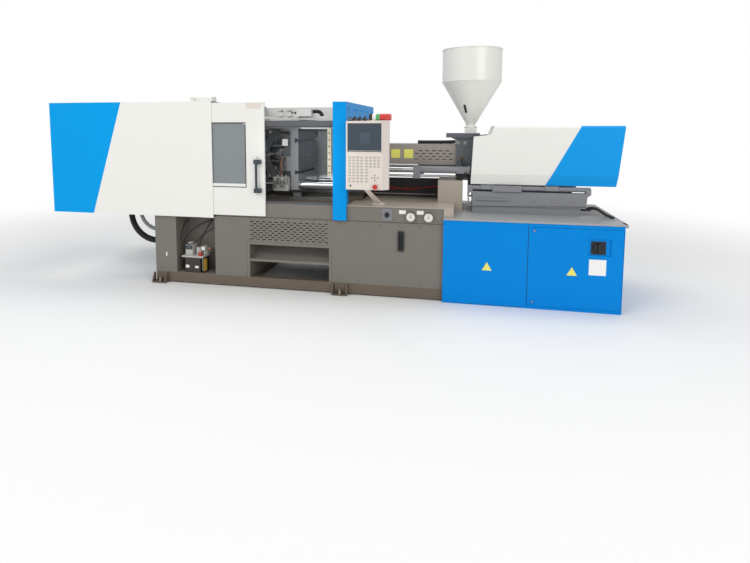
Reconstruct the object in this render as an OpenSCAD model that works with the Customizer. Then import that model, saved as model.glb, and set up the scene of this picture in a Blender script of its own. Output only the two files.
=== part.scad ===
// Horizontal injection moulding machine with a double toggle clamp on the left,
// a sliding injection unit with a feed hopper on the right, and a swivelling control panel.
// +X runs along the machine from the clamp to the injection unit, +Y from the operator to the rear.

/* [Overall] */
// Reach of the clamp cover to the left of the origin
clamp_reach = 2600; // [2560:1:2700]
// Reach of the injection cover to the right of the origin
injection_reach = 2600; // [2580:1:2700]
// Half of the machine's depth, from its middle plane to the cover's outer face
half_depth = 700; // [690:1:760]
// Height of the clamp and screw axis above the floor
axis_z = 1190; // [1170:1:1220]
// How far the middle plane lies behind the origin, so that the origin is under the middle of the whole
middle_y = 44; // [0:1:60]

/* [Bed] */
// Left end of the bed
bed_left = -1520; // [-1600:1:-1500]
// Right end of the bed, where the cabinet starts
bed_right = 1160; // [1130:1:1180]
// Height of the base channels above the floor
foot_h = 12; // [5:1:20]
// Height of the base channels
channel_h = 90; // [70:1:110]
// Flange width of the base channels
channel_w = 60; // [40:1:80]
// Wall of the base channels
channel_wall = 8; // [5:1:12]
// Height of the bed beams' top above the floor
beam_top = 779; // [760:1:785]
// Height of the bed beams
beam_h = 131; // [120:1:134]
// Depth of the bed beams, front to back
beam_w = 100; // [80:1:110]
// How far the bed's skins lie inside the cover's outer face
skin_inset = 32; // [30:1:40]
// Thickness of folded sheet metal
sheet = 3; // [2:0.5:4]
// Height of the top edge of the lower skins
skin_top = 652; // [640:1:656]
// Width of the wear strips that the platens slide on
strip_w = 70; // [50:1:90]
// Thickness of the wear strips
strip_h = 21; // [15:1:30]
// Distance of the wear strips from the middle plane
strip_y = 255; // [230:1:280]

/* [Discharge and recess] */
// Left edge of the discharge opening
chute_left = -598; // [-620:1:-580]
// Right edge of the discharge opening
chute_right = 202; // [180:1:210]
// Top of the discharge opening
chute_top = 430; // [410:1:440]
// Height of the chute's lower lip
chute_lip = 250; // [240:1:270]
// Left edge of the lubrication recess
recess_left = -1304; // [-1320:1:-1290]
// Right edge of the lubrication recess
recess_right = -910; // [-930:1:-900]
// Depth of the lubrication recess
recess_depth = 210; // [180:1:230]
// Width of a ventilation slot
slot_w = 34; // [24:1:38]
// Height of a ventilation slot
slot_h = 8; // [5:1:10]
// Rows of ventilation slots
slot_rows = 9; // [5:1:9]

/* [Clamp] */
// Width and height of the platens
platen_size = 700; // [690:1:716]
// Height of the platens
platen_h = 690; // [680:1:700]
// Face of the moving platen
moving_face = -200; // [-220:1:-180]
// Thickness of the moving platen's front plate
plate_t = 75; // [60:1:90]
// Depth of the ribbed box behind the front plate
platen_box = 110; // [90:1:116]
// Open distance between the two platen faces
daylight = 430; // [400:1:450]
// Thickness of the fixed platen
fixed_t = 170; // [150:1:190]
// Distance of the tie bars from the axis, across and up
tie_offset = 275; // [268:1:282]
// Diameter of the tie bars
tie_d = 70; // [60:1:80]
// Radial clearance of sliding fits
fit_gap = 0.1; // [0.05:0.01:0.2]
// Side clearance between links
side_gap = 3; // [2:0.5:4]
// Radius of the locating ring's seat in the fixed platen
ring_r = 62.5; // [50:0.5:80]
// Depth of the locating ring's seat
ring_depth = 25; // [15:1:40]
// Width of a T-slot's mouth
tslot_w = 22; // [18:1:28]
// Height between neighbouring T-slots
tslot_pitch = 150; // [130:1:155]

/* [Toggle] */
// Length of each toggle link between its pin centres
link_len = 300; // [290:1:306]
// Angle of the links to the machine's length with the clamp open
fold = 54; // [50:0.5:55]
// Height of the toggle pivots above and below the axis
pivot_rise = 288; // [284:1:292]
// Radius of the link ends at the platens
end_r = 46; // [42:1:48]
// Radius of the knee
knee_r = 40; // [36:1:41]
// Radius of the main pins
pin_r = 25; // [20:1:28]
// Middle of each link pair, from the middle plane
link_y = 150; // [146:1:154]
// Thickness of the front links
front_link_t = 50; // [44:1:52]
// Thickness of each cheek of the rear links
cheek_t = 27; // [22:1:28]
// Distance from the rear pivot to the crosshead link's pin
cross_len = 150; // [140:1:156]
// Angle between the rear link and that pin
cross_angle = 16; // [12:1:18]
// Radius of the crosshead link's ends
cross_r = 30; // [27:1:32]
// Radius of the crosshead link's pins
cross_pin_r = 14; // [12:1:17]
// Thickness of the crosshead links
cross_t = 30; // [24:1:32]

/* [Clamp drive] */
// Thickness of the rear platen
rear_t = 140; // [120:1:160]
// Outer diameter of the clamp cylinder
clamp_d = 200; // [180:1:230]
// Length of the clamp cylinder
clamp_len = 620; // [560:1:700]
// Diameter of the clamp cylinder's rod
clamp_rod_d = 80; // [70:1:86]
// Diameter of the crosshead's guide rods
guide_d = 38; // [32:1:40]
// Height of the guide rods above and below the axis
guide_rise = 76; // [74:1:80]
// Stroke of the ejector
ejector_stroke = 80; // [60:1:84]
// Diameter of the ejector pins
ejector_d = 26; // [18:1:32]

/* [Guarding] */
// Right edge of the clamp cover
cover_right = -905; // [-920:1:-890]
// Lower edge of the clamp cover
cover_bottom = 640; // [636:1:644]
// Upper edge of the clamp cover
cover_top = 1695; // [1690:1:1720]
// Width of a sliding door
door_w = 1150; // [1140:1:1170]
// Right edge of the front door as it stands open
door_right = -405; // [-430:1:-395]
// Lower edge of the doors
door_bottom = 670; // [665:1:680]
// Upper edge of the doors
door_top = 1682; // [1670:1:1686]
// Thickness of the doors
door_t = 20; // [16:1:22]
// Right edge of the door's window, from the door's right edge
window_margin = 181; // [160:1:200]
// Width of the door's window
window_w = 714; // [600:1:760]
// Lower edge of the door's window
window_bottom = 930; // [900:1:960]
// Upper edge of the door's window
window_top = 1500; // [1450:1:1520]
// Corner radius of the door's window
window_r = 28; // [15:1:40]
// Height of the door rail's upper edge
rail_top = 1520; // [1510:1:1530]
// Height of the door rail
rail_h = 46; // [36:1:56]
// Left face of the blue portal
portal_left = 217; // [214:1:222]
// Width of the portal
portal_w = 117; // [110:1:130]
// Depth of the portal's posts
portal_post = 100; // [90:1:110]
// Lower edge of the portal
portal_bottom = 661; // [656:1:668]
// Upper edge of the portal
portal_top = 1679; // [1670:1:1690]
// Height of the portal's crossbeam
portal_beam = 132; // [110:1:136]

/* [Injection unit] */
// Outer diameter of the barrel
barrel_d = 120; // [110:1:126]
// Front end of the barrel
barrel_front = 430; // [425:1:460]
// Length of the nozzle
nozzle_len = 100; // [80:1:110]
// Diameter of the screw
screw_d = 50; // [42:1:56]
// Diameter over the heater bands
band_d = 150; // [140:1:160]
// Left end of the barrel guard
guard_left = 520; // [500:1:560]
// Half width of the barrel guard
guard_half = 125; // [115:1:135]
// Height of the barrel guard's lower edge below the axis
guard_drop = 72; // [66:1:76]
// Height of the barrel guard's upper face above the axis
guard_rise = 118; // [110:1:122]
// Left face of the throat block
throat_left = 1240; // [1235:1:1250]
// Length of the throat block
throat_len = 230; // [215:1:240]
// Centre of the hopper along the machine
hopper_x = 1366; // [1360:1:1372]
// Diameter of the hopper
hopper_d = 531; // [500:1:560]
// Height of the slide block that the hopper stands on, above the axis
slide_rise = 218; // [210:1:230]
// Height of the hopper's foot
hopper_foot = 79; // [60:1:90]
// Height of the hopper's cone
hopper_cone = 388; // [370:1:410]
// Height of the hopper's straight wall, with its lid
hopper_drum = 305; // [280:1:320]
// Radius of the hopper's outlet
outlet_r = 36; // [30:1:42]
// Stroke of the screw
screw_stroke = 180; // [150:1:190]
// Distance of the injection cylinders from the middle plane
ram_y = 190; // [180:1:200]
// Half depth of the injection cover
inj_half = 350; // [340:1:360]
// Lower edge of the injection cover
inj_bottom = 967; // [964:1:975]
// Upper face of the injection cover
inj_top = 1474; // [1465:1:1485]
// Height of the injection cover's fold
inj_fold = 1056; // [1040:1:1070]
// Left end of the injection cover
inj_left = 1374; // [1370:1:1380]

/* [Carriage] */
// Left end of the carriage rails
rail_left = 1353; // [1345:1:1360]
// Right end of the carriage rails
rail_right = 2358; // [2340:1:2380]
// Distance of the carriage rails from the middle plane
rail_y = 322; // [310:1:326]
// Diameter of the carriage rods
rail_d = 40; // [30:1:44]
// Height of the carriage rods' centre
rail_z = 936; // [930:1:940]
// Travel of the carriage towards the fixed platen
carriage_forward = 60; // [50:1:65]
// Travel of the carriage away from the fixed platen
carriage_back = 200; // [150:1:210]
// Distance of the pull-in cylinders from the middle plane
pull_y = 235; // [230:1:245]
// Height of the pull-in cylinders below the axis
pull_drop = 110; // [106:1:114]
// Diameter of the pull-in cylinders
pull_d = 64; // [56:1:70]
// Diameter of the pull-in rods
pull_rod_d = 36; // [28:1:40]

/* [Cabinet] */
// Right side of the cabinet
cabinet_right = 2540; // [2500:1:2560]
// Rear face of the cabinet, behind the middle plane
cabinet_back = 430; // [400:1:460]
// Height of the cabinet
cabinet_h = 700; // [690:1:705]
// Left edge of the cabinet door
cabinet_split = 1832; // [1780:1:1880]
// Thickness of the cabinet's deck
deck_t = 15; // [10:1:20]
// Thickness of the cabinet door
cabinet_door_t = 20; // [16:1:26]
// Radius of the isolator's knob
isolator_r = 38; // [30:1:42]

/* [Control panel] */
// Left edge of the control panel
panel_left = 355; // [350:1:380]
// Width of the control panel's front
panel_w = 305; // [290:1:320]
// Lower edge of the control panel
panel_bottom = 945; // [930:1:960]
// Height of the control panel
panel_h = 570; // [540:1:600]
// Depth of the control panel
panel_d = 80; // [60:1:90]
// How far the panel's front stands before the middle plane
panel_front = 800; // [790:1:820]
// Radius of the emergency stop's head
stop_r = 17; // [14:1:20]
// Height of the emergency stop's head above the panel
stop_h = 28; // [22:1:32]
// Travel of the emergency stop
stop_travel = 5; // [3:1:6]

/* [Hidden] */
$fn = 48;

seat = 0.3;
skin_y = half_depth - skin_inset;
beam_y = skin_y - sheet - seat;
channel_top = foot_h + channel_h;
skin_bottom = channel_top + seat;
strip_top = beam_top + strip_h;
platen_low = axis_z - platen_h / 2;
platen_high = axis_z + platen_h / 2;
half_platen = platen_size / 2;
fixed_face = moving_face + daylight;
fixed_back = fixed_face + fixed_t;
front_pivot_x = moving_face - plate_t - platen_box - end_r - 9;
open_span = 2 * link_len * cos(fold);
rear_pivot_x = front_pivot_x - open_span;
rear_face = rear_pivot_x - end_r - 24;
rear_back = rear_face - rear_t;
cross_fold = fold + cross_angle;
cross_x = rear_pivot_x + 2 * cross_len * cos(cross_fold);
inner_cheek = link_y - front_link_t / 2 - side_gap - cheek_t;
outer_cheek = link_y + front_link_t / 2 + side_gap;
cross_y = inner_cheek - 5 - cross_t;
cover_y = half_depth;
door_y = half_depth - 6;
rail_front = door_y - door_t - 2;
frame_y = 600;
tube = 40;
portal_right = portal_left + portal_w;
cabinet_left = bed_right;
deck_z = cabinet_h + deck_t;
carriage_top = 1000;
nozzle_tip = barrel_front - nozzle_len;
pull_z = axis_z - pull_drop;
guard_bottom = axis_z - guard_drop;
guard_top = axis_z + guard_rise;
throat_low = axis_z - 150;
throat_top = axis_z + 154;
slide_top = axis_z + slide_rise;
hopper_neck = slide_top + hopper_foot;
hopper_shoulder = hopper_neck + hopper_cone;
hopper_top = hopper_shoulder + hopper_drum;

module place() translate([0, middle_y, 0]) children();
module block(x0, x1, y0, y1, z0, z1) translate([x0, y0, z0]) cube([x1 - x0, y1 - y0, z1 - z0]);
module along_x(x0, x1, y, z, d) translate([x0, y, z]) rotate([0, 90, 0]) cylinder(h = x1 - x0, d = d);
module along_y(y0, y1, x, z, d) translate([x, y0, z]) rotate([-90, 0, 0]) cylinder(h = y1 - y0, d = d);
module both_sides() {
    children();
    mirror([0, 1, 0]) children();
}
module upside_down() translate([0, 0, 2 * axis_z]) mirror([0, 0, 1]) children();
// An outline in X and Z, drawn out along Y from y0 to y1
module drawn_along_y(y0, y1) translate([0, y1, 0]) rotate([90, 0, 0]) linear_extrude(y1 - y0) children();
// An outline in Y and Z, drawn out along X from x0 to x1
module drawn_along_x(x0, x1) translate([x0, 0, 0]) rotate([90, 0, 90]) linear_extrude(x1 - x0) children();

corner_steps = 4;
function corner(cx, cy, r, start) =
    [for (i = [0:corner_steps]) [cx + r * cos(start + 90 * i / corner_steps), cy + r * sin(start + 90 * i / corner_steps)]];
function round_rect(x0, x1, z0, z1, r) = concat(
    corner(x1 - r, z1 - r, r, 0), corner(x0 + r, z1 - r, r, 90),
    corner(x0 + r, z0 + r, r, 180), corner(x1 - r, z0 + r, r, 270));

// Bed

cross_xs = [bed_left, chute_left - 70, chute_right + 5, bed_right - 60];

module channel() {
    inner = channel_w - channel_wall;
    translate([bed_left, -skin_y, foot_h])
        rotate([90, 0, 90])
            linear_extrude(bed_right - bed_left)
                difference() {
                    square([channel_w, channel_h]);
                    translate([channel_wall, channel_wall]) square([inner + 1, channel_h - 2 * channel_wall]);
                }
}

module bed_frame() place() color("dimgray") {
    union() {
        both_sides() {
            channel();
            difference() {
                block(bed_left, bed_right, -beam_y, -beam_y + beam_w, beam_top - beam_h, beam_top);
                block(bed_left - 1, bed_right + 1, -beam_y + 8, -beam_y + beam_w - 8,
                    beam_top - beam_h + 8, beam_top - 8);
            }
            block(bed_left, fixed_back, -strip_y - strip_w / 2 - 15, -strip_y + strip_w / 2 + 15,
                beam_top - 70, beam_top);
            block(bed_left, fixed_face - 5, -strip_y - strip_w / 2, -strip_y + strip_w / 2, beam_top, strip_top);
            block(fixed_face, fixed_back, -strip_y - strip_w / 2, -strip_y + strip_w / 2, beam_top, platen_low);
            for (x = cross_xs)
                block(x, x + 60, -beam_y, -beam_y + 60, channel_top, beam_top - beam_h);
        }
        for (x = cross_xs) {
            block(x, x + 60, -skin_y + channel_w, skin_y - channel_w, foot_h, channel_top);
            block(x, x + 60, -beam_y + beam_w, beam_y - beam_w, beam_top - beam_h, beam_top - 20);
        }
        block(fixed_face - 5, fixed_back, -beam_y + beam_w, beam_y - beam_w, beam_top - beam_h, beam_top);
        both_sides() block(portal_left, portal_right, -beam_y, -half_depth + portal_post, beam_top, beam_top + 6);
    }
}

module skin(x0, x1, z0 = skin_bottom, z1 = skin_top) block(x0, x1, -skin_y, -skin_y + sheet, z0, z1);

module recess_liner() {
    back = -skin_y + recess_depth;
    high = beam_top - beam_h - seat;
    block(recess_left - sheet, recess_right + sheet, back, back + sheet, skin_bottom, high);
    block(recess_left - sheet, recess_left, -skin_y + sheet - 1, back, skin_bottom, high);
    block(recess_right, recess_right + sheet, -skin_y + sheet - 1, back, skin_bottom, high);
    block(recess_left, recess_right, -skin_y, back, skin_bottom, skin_bottom + sheet);
}

module bed_panels() place() color([0.40, 0.39, 0.37]) {
    union() {
        skin(bed_left, recess_left);
        skin(recess_right, chute_left);
        recess_liner();
    }
    skin(chute_right, bed_right);
    mirror([0, 1, 0]) for (k = [0:2])
        skin(bed_left + k * (bed_right - bed_left) / 3, bed_left + (k + 1) * (bed_right - bed_left) / 3 - 4);
    difference() {
        block(bed_left - sheet, bed_left, -skin_y, skin_y, skin_bottom, skin_top);
        for (hose = hoses) along_x(bed_left - 10, bed_left + 10, hose[1], hose[2], hose[3] + 1);
    }
}

slot_pitch_x = 58;
slot_pitch_z = 20;
slot_cols = 13;

module vent_panel() {
    middle = (chute_left + chute_right) / 2;
    field_h = slot_rows * slot_pitch_z;
    low = (chute_top + skin_top - field_h) / 2;
    difference() {
        block(chute_left, chute_right, -skin_y, -skin_y + sheet, chute_top, skin_top);
        for (row = [0:slot_rows - 1])
            for (col = [0:slot_cols - 1 - row % 2]) {
                x = middle + (col - (slot_cols - 1) / 2 + (row % 2) / 2) * slot_pitch_x;
                block(x - slot_w / 2, x + slot_w / 2, -skin_y - 1, -skin_y + sheet + 1,
                    low + row * slot_pitch_z, low + row * slot_pitch_z + slot_h);
            }
    }
}

chute_rise = 330;
chute_run = 900;
rim = 26;

module chute_tray() {
    left = chute_left + 2;
    right = chute_right - 2;
    front = -skin_y;
    union() {
        drawn_along_x(left + rim, right - rim)
            polygon([[front, chute_lip], [front + 20, chute_lip], [front + chute_run, chute_lip + chute_rise],
                [front + chute_run, chute_lip + chute_rise + 3], [front + 20, chute_lip + 6],
                [front, chute_lip + 22]]);
        for (x = [left, right - rim])
            block(x, x + rim, front, front + sheet, skin_bottom, chute_top);
        block(left, right, front, front + sheet, chute_top - rim, chute_top - 1);
        for (x = [left + rim - sheet, right - rim])
            drawn_along_x(x, x + sheet)
                polygon([[front, chute_lip], [front, chute_top - rim], [front + chute_run, chute_top + 200],
                    [front + chute_run, chute_lip + chute_rise]]);
        for (x = [left + rim - sheet, right - rim])
            block(x, x + sheet, front, front + 420, skin_bottom, chute_lip + 1);
    }
}

module discharge_chute() place() color([0.40, 0.39, 0.36]) {
    vent_panel();
    chute_tray();
}

gauge_z = 712;
gauge_xs = [888, 1037];
selector_x = 686;
selector_z = 722;

module gauge_strip() place() color([0.45, 0.45, 0.44]) {
    difference() {
        union() {
            block(cover_right + 2, bed_right - 2, -skin_y - 3, -beam_y - seat, skin_top + 8, beam_top + 6);
            block(selector_x - 42, selector_x + 42, -skin_y - 7, -skin_y - 3, selector_z - 50, selector_z + 50);
        }
        along_y(-skin_y - 20, -beam_y + 20, selector_x, selector_z, 22);
    }
}

deck_left = portal_right + 2;
deck_right = 1240;

foot_box = [1090, 1306, 280, carriage_top - 12];
screen_y = 60;
screen_top = 975;

module bed_deck() place() color([0.61, 0.58, 0.54]) {
    difference() {
        block(foot_box[0], foot_box[1], -foot_box[2], foot_box[2], deck_z, foot_box[3]);
        block(foot_box[0] + sheet, foot_box[1] - sheet, -foot_box[2] + sheet, foot_box[2] - sheet, deck_z - 1, foot_box[3] - sheet);
        block(foot_box[0] - 1, deck_right + seat, -foot_box[2] - 1, foot_box[2] + 1, deck_z - 1, beam_top + 12);
    }
    difference() {
        block(deck_left, deck_right, -skin_y - 10, skin_y + 10, beam_top + 6, beam_top + 12);
        block(deck_left - 1, fixed_back + seat, -half_platen, half_platen, beam_top, beam_top + 20);
    }
    block(fixed_back + 2, foot_box[0] - 2, screen_y, screen_y + sheet, beam_top + 12, screen_top);
    union() {
        block(deck_right - sheet, deck_right, -skin_y - 10, cabinet_back, deck_z + seat, beam_top + 6);
        block(bed_right, deck_right, -skin_y - 10, -skin_y - 7, deck_z + seat, beam_top + 6);
        block(deck_left, deck_right, beam_y - beam_w, beam_y, beam_top, beam_top + 6);
        block(fixed_back + 2, deck_right, -beam_y + beam_w - 60, -beam_y + beam_w, beam_top, beam_top + 6);
    }
}

bracket_w = 135;
bracket_xs = [-1536, 209];
bracket_reach = 58;
anchor_d = 22;

module anchor_brackets() place() color([0.42, 0.38, 0.33]) {
    both_sides() for (x = bracket_xs) {
        front = -skin_y - bracket_reach;
        difference() {
            union() {
                for (side = [x, x + bracket_w - 8])
                    drawn_along_x(side, side + 8)
                        polygon([[front, 0], [front, 26], [front + 34, channel_top - 8], [-skin_y, channel_top - 8], [-skin_y, 0]]);
                block(x, x + bracket_w, front, -skin_y, 0, foot_h - 2);
                block(x, x + bracket_w, -skin_y, -skin_y + channel_w, 0, foot_h);
            }
            translate([x + bracket_w / 2, front + bracket_reach / 2, -1]) cylinder(h = foot_h + 2, d = anchor_d);
        }
    }
}

module gauges() place() {
    front = -skin_y;
    level_front = front - 16;
    color([0.1, 0.1, 0.1]) difference() {
        block(780, 832, level_front, front, 413, 582);
        block(792, 820, level_front - 1, level_front + 12, 430, 565);
    }
    color("gainsboro") along_z_tube(806, level_front + 6.1, 430, 565, 11.4);
    for (x = gauge_xs) color("beige") {
        along_y(front - 25, front - 3, x, gauge_z, 76);
        along_y(front - 31, front - 25, x, gauge_z, 82);
    }
}
module along_z_tube(x, y, z0, z1, d) translate([x, y, z0]) cylinder(h = z1 - z0, d = d);

// Lubrication pump in its recess

pump_x = -1148;
pump_y = -600;
tank_top = 250;
tank_size = [166, 130];
tank_low = skin_bottom + sheet;

module lube_tank() place() color([0.85, 0.75, 0.5]) {
    translate([pump_x, pump_y, tank_low])
        linear_extrude(tank_top - tank_low)
            polygon(round_rect(-tank_size[0] / 2, tank_size[0] / 2, -tank_size[1] / 2, tank_size[1] / 2, 18));
}

module lube_pump() place() color("gainsboro") {
    union() {
        block(pump_x - 103, pump_x + 113, pump_y - 72, pump_y + 80, tank_top, tank_top + 14);
        block(pump_x - 78, pump_x - 8, pump_y - 40, pump_y + 50, tank_top + 14, tank_top + 112);
        translate([pump_x + 40, pump_y + 10, tank_top + 14]) cylinder(h = 70, d = 62);
        translate([pump_x + 72, pump_y - 40, tank_top + 14]) cylinder(h = 24, d = 34);
        translate([pump_x + 100, pump_y - 10, tank_top + 14]) cylinder(h = 50, d = 16);
        along_y(pump_y - 30, pump_y + 10, pump_x + 100, tank_top + 84, 44);
        block(pump_x + 78, pump_x + 108, pump_y + 30, -skin_y + recess_depth, tank_top + 14, tank_top + 60);
        block(pump_x + 105, pump_x + 109, pump_y - 66, pump_y + 60, tank_low + 20, tank_top);
    }
}

// Hoses from the cover frame into the bed's end: x and y at the top, height at the bed, diameter, bend
hoses = [[-1928, -430, 343, 54, 270], [-1824, -430, 455, 34, 190]];

module hose(x, y, z, d, bend) {
    top = beam_top - 58;
    translate([x, y, z + bend]) cylinder(h = top - z - bend, d = d);
    translate([x + bend, y, z + bend])
        rotate([90, 0, 0])
            rotate([0, 0, 180])
                rotate_extrude(angle = 90) translate([bend, 0]) circle(d = d);
    along_x(x + bend, bed_left - sheet + 8, y, z, d);
    translate([x, y, top - 30]) cylinder(h = 30, d = d + 14);
    along_x(bed_left - sheet - 24, bed_left - sheet, y, z, d + 14);
}

module hose_of(h) union() hose(h[0], h[1], h[2], h[3], h[4]);
module clamp_hose() place() color([0.15, 0.15, 0.15]) hose_of(hoses[0]);
module drain_hose() place() color([0.62, 0.62, 0.62]) hose_of(hoses[1]);

// Guarding

module portal_guard() place() color([0.0, 0.52, 0.85]) {
    inner = half_depth - portal_post;
    low_beam = portal_top - portal_beam;
    difference() {
        block(portal_left, portal_right, -half_depth, half_depth, portal_bottom, portal_top);
        block(portal_left - 1, portal_right + 1, -inner, inner, portal_bottom - 1, low_beam);
        block(portal_left + sheet, portal_right - sheet, -half_depth + sheet, half_depth - sheet,
            portal_bottom - 1, portal_top - sheet);
        block(portal_left - 1, portal_right + 1, -skin_y - 3 - seat, skin_y + 3 + seat,
            portal_bottom - 1, beam_top + 6);
    }
}

rail_depth = 60;
rail_reach = cover_right - 675;
roller_d = 34;

module rail_side() {
    low = rail_top - rail_h;
    union() {
        drawn_along_x(rail_reach, portal_left)
            polygon([[-rail_front, low], [-rail_front, rail_top], [-rail_front + rail_depth, rail_top],
                [-rail_front + rail_depth, low - 14], [-rail_front + 14, low - 14], [-rail_front + 14, low]]);
        for (x = [rail_reach + 20, cover_right - tube])
            block(x, x + tube, -rail_front + rail_depth, -frame_y, low, rail_top);
    }
    difference() {
        block(rail_reach, portal_left, -beam_y, -beam_y + 18, beam_top, beam_top + 24);
        block(cover_right - tube - 5, cover_right + 5, -frame_y - 1, -frame_y + tube, beam_top - 1, beam_top + 20);
    }
}

module door_rails() place() color([0.35, 0.35, 0.36]) both_sides() rail_side();

module clamp_cover() {
    left = -clamp_reach;
    flange = half_depth - frame_y + tube;
    union() {
        block(left, cover_right, -cover_y, -cover_y + sheet, cover_bottom, cover_top);
        block(left, cover_right, -cover_y, -cover_y + flange, cover_top - sheet, cover_top);
        block(left, cover_right, -cover_y, -skin_y - seat, cover_bottom, cover_bottom + sheet);
        block(left, left + sheet, -cover_y, -cover_y + flange, cover_bottom, cover_top);
    }
}

module clamp_covers() place() color([0.93, 0.93, 0.91]) both_sides() clamp_cover();

module cover_frame() place() color([0.36, 0.36, 0.37]) {
    far = -clamp_reach + sheet + seat;
    high = cover_top - sheet;
    sill = beam_top - 50;
    union() {
        both_sides() {
            block(far, cover_right, -frame_y, -frame_y + tube, high - tube, high);
            block(far, bed_left, -frame_y, -frame_y + tube, sill - tube, sill);
            block(far, far + tube, -frame_y, -frame_y + tube, sill, high);
            block(bed_left - tube, bed_left, -frame_y, -frame_y + tube, sill, high);
            block(cover_right - tube, cover_right, -frame_y, -frame_y + tube, beam_top, high);
            block(far, far + tube, -cover_y + flange_seat, -frame_y, sill - tube, sill);
        }
        for (z = [high - tube, sill - tube]) block(far, far + tube, -frame_y, frame_y, z, z + tube);
        block(cover_right - tube, cover_right, -frame_y, frame_y, high - tube, high);
        block(bed_left - tube, bed_left, -frame_y, frame_y, high - tube, high);
        block(hoses[0][0] - 60, hoses[1][0] + 60, -frame_y + tube, hoses[0][1] + 60, sill - 8, sill);
    }
}
flange_seat = sheet + seat;

module end_guard() place() color([0.85, 0.85, 0.84]) {
    left = -clamp_reach;
    flange = half_depth - frame_y + tube;
    reach = half_depth - flange - 1;
    difference() {
        block(left, left + sheet, -reach, reach, cover_bottom, cover_top);
        for (row = [0:5])
            for (col = [-4:4])
                block(left - 1, left + sheet + 1, col * 110 - 35, col * 110 + 35, 1360 + row * 36, 1368 + row * 36);
    }
}

// Clamp

module platen_outline(cut) {
    w = half_platen;
    polygon([[-w + cut, platen_low], [w - cut, platen_low], [w, platen_low + cut], [w, platen_high - cut],
        [w - cut, platen_high], [-w + cut, platen_high], [-w, platen_high - cut], [-w, platen_low + cut]]);
}

module tie_holes(x0, x1, gap) {
    for (y = [-tie_offset, tie_offset])
        for (z = [-tie_offset, tie_offset])
            along_x(x0, x1, y, axis_z + z, tie_d + 2 * gap);
}

// T-slots run across a face; depth points away from it
module t_slots(face, depth) {
    mouth = min(face, face + depth * 16) - (depth > 0 ? 1 : 0);
    head = depth > 0 ? face + 16 : face - 34;
    for (k = [-1, 1]) {
        z = axis_z + k * tslot_pitch;
        block(mouth, mouth + 17, -half_platen - 1, half_platen + 1, z - tslot_w / 2, z + tslot_w / 2);
        block(head, head + 18, -half_platen - 1, half_platen + 1, z - tslot_w / 2 - 8, z + tslot_w / 2 + 8);
    }
}

cone_r = 135;
cone_depth = 105;
sprue_r = 48;

module fixed_platen() place() color([0.35, 0.36, 0.38]) {
    difference() {
        drawn_along_x(fixed_face, fixed_back) platen_outline(30);
        tie_holes(fixed_face - 1, fixed_back + 1, seat);
        t_slots(fixed_face, 1);
        along_x(fixed_face - 1, fixed_face + ring_depth, 0, axis_z, 2 * ring_r);
        translate([fixed_face, 0, axis_z])
            rotate([0, 90, 0])
                rotate_extrude()
                    polygon([[0, -1], [sprue_r, -1], [sprue_r, fixed_t - cone_depth], [cone_r, fixed_t + 1], [0, fixed_t + 1]]);
    }
}

tie_left = rear_back - 330;
nut_t = 72;

module tie_bars() place() color("silver") {
    for (y = [-tie_offset, tie_offset])
        for (z = [-tie_offset, tie_offset])
            along_x(tie_left, fixed_back + nut_t + 14, y, axis_z + z, tie_d);
}

module tie_bar_nuts() place() color([0.3, 0.3, 0.31]) {
    for (y = [-tie_offset, tie_offset])
        for (z = [-tie_offset, tie_offset])
            difference() {
                union() {
                    along_x(fixed_back, fixed_back + nut_t, y, axis_z + z, tie_d + 52);
                    along_x(fixed_back, fixed_back + 14, y, axis_z + z, tie_d + 80);
                }
                along_x(fixed_back - 1, fixed_back + nut_t + 1, y, axis_z + z, tie_d + 2 * seat);
            }
}

module moving_platen() place() color([0.45, 0.45, 0.46]) {
    back = moving_face - plate_t;
    box_back = back - platen_box;
    foot = strip_w - 6;
    difference() {
        union() {
            drawn_along_x(back, moving_face) platen_outline(30);
            for (y = [-tie_offset, tie_offset])
                for (z = [-tie_offset, tie_offset])
                    along_x(box_back, back, y, axis_z + z, tie_d + 62);
            both_sides() {
                for (y = [inner_cheek, outer_cheek]) block(box_back, back, y, y + cheek_t, platen_low + 12, platen_high - 12);
                block(box_back, back, inner_cheek, outer_cheek + cheek_t, platen_low + 12, platen_low + 40);
                block(box_back, back, inner_cheek, outer_cheek + cheek_t, platen_high - 40, platen_high - 12);
                block(back, moving_face, strip_y - foot / 2, strip_y + foot / 2, strip_top + seat, platen_low);
                platen_lugs();
                upside_down() platen_lugs();
                platen_pins();
                upside_down() platen_pins();
            }
            for (k = [-1, 1]) block(box_back, back, -tie_offset, tie_offset, axis_z + k * 120 - 12, axis_z + k * 120 + 12);
            block(box_back - 12, box_back + 4, -outer_cheek - cheek_t, outer_cheek + cheek_t, axis_z - 62, axis_z + 62);
        }
        tie_holes(box_back - 1, moving_face + 1, fit_gap);
        t_slots(moving_face, -1);
        for (y = ejector_ys) along_x(back - 1, moving_face + 1, y, axis_z, ejector_d + 2 * fit_gap);
        block(box_back + 4, back, -inner_cheek, inner_cheek, axis_z - 100, axis_z + 100);
        along_x(box_back - 13, box_back + 5, 0, axis_z, ejector_d + 2 * fit_gap);
    }
}

ejector_ys = [-75, 0, 75];

// One bearing cheek with a round end at the front pivot
module lug_outline(reach) {
    union() {
        translate([front_pivot_x, axis_z + pivot_rise]) circle(r = end_r);
        translate([front_pivot_x, axis_z + pivot_rise - end_r + 4]) square([reach, 2 * end_r - 8]);
    }
}

module platen_lugs() {
    reach = moving_face - plate_t - front_pivot_x;
    for (y = [inner_cheek, outer_cheek]) drawn_along_y(y, y + cheek_t) lug_outline(reach);
}

module platen_pins() along_y(inner_cheek, outer_cheek + cheek_t, front_pivot_x, axis_z + pivot_rise, 2 * pin_r);

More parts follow.
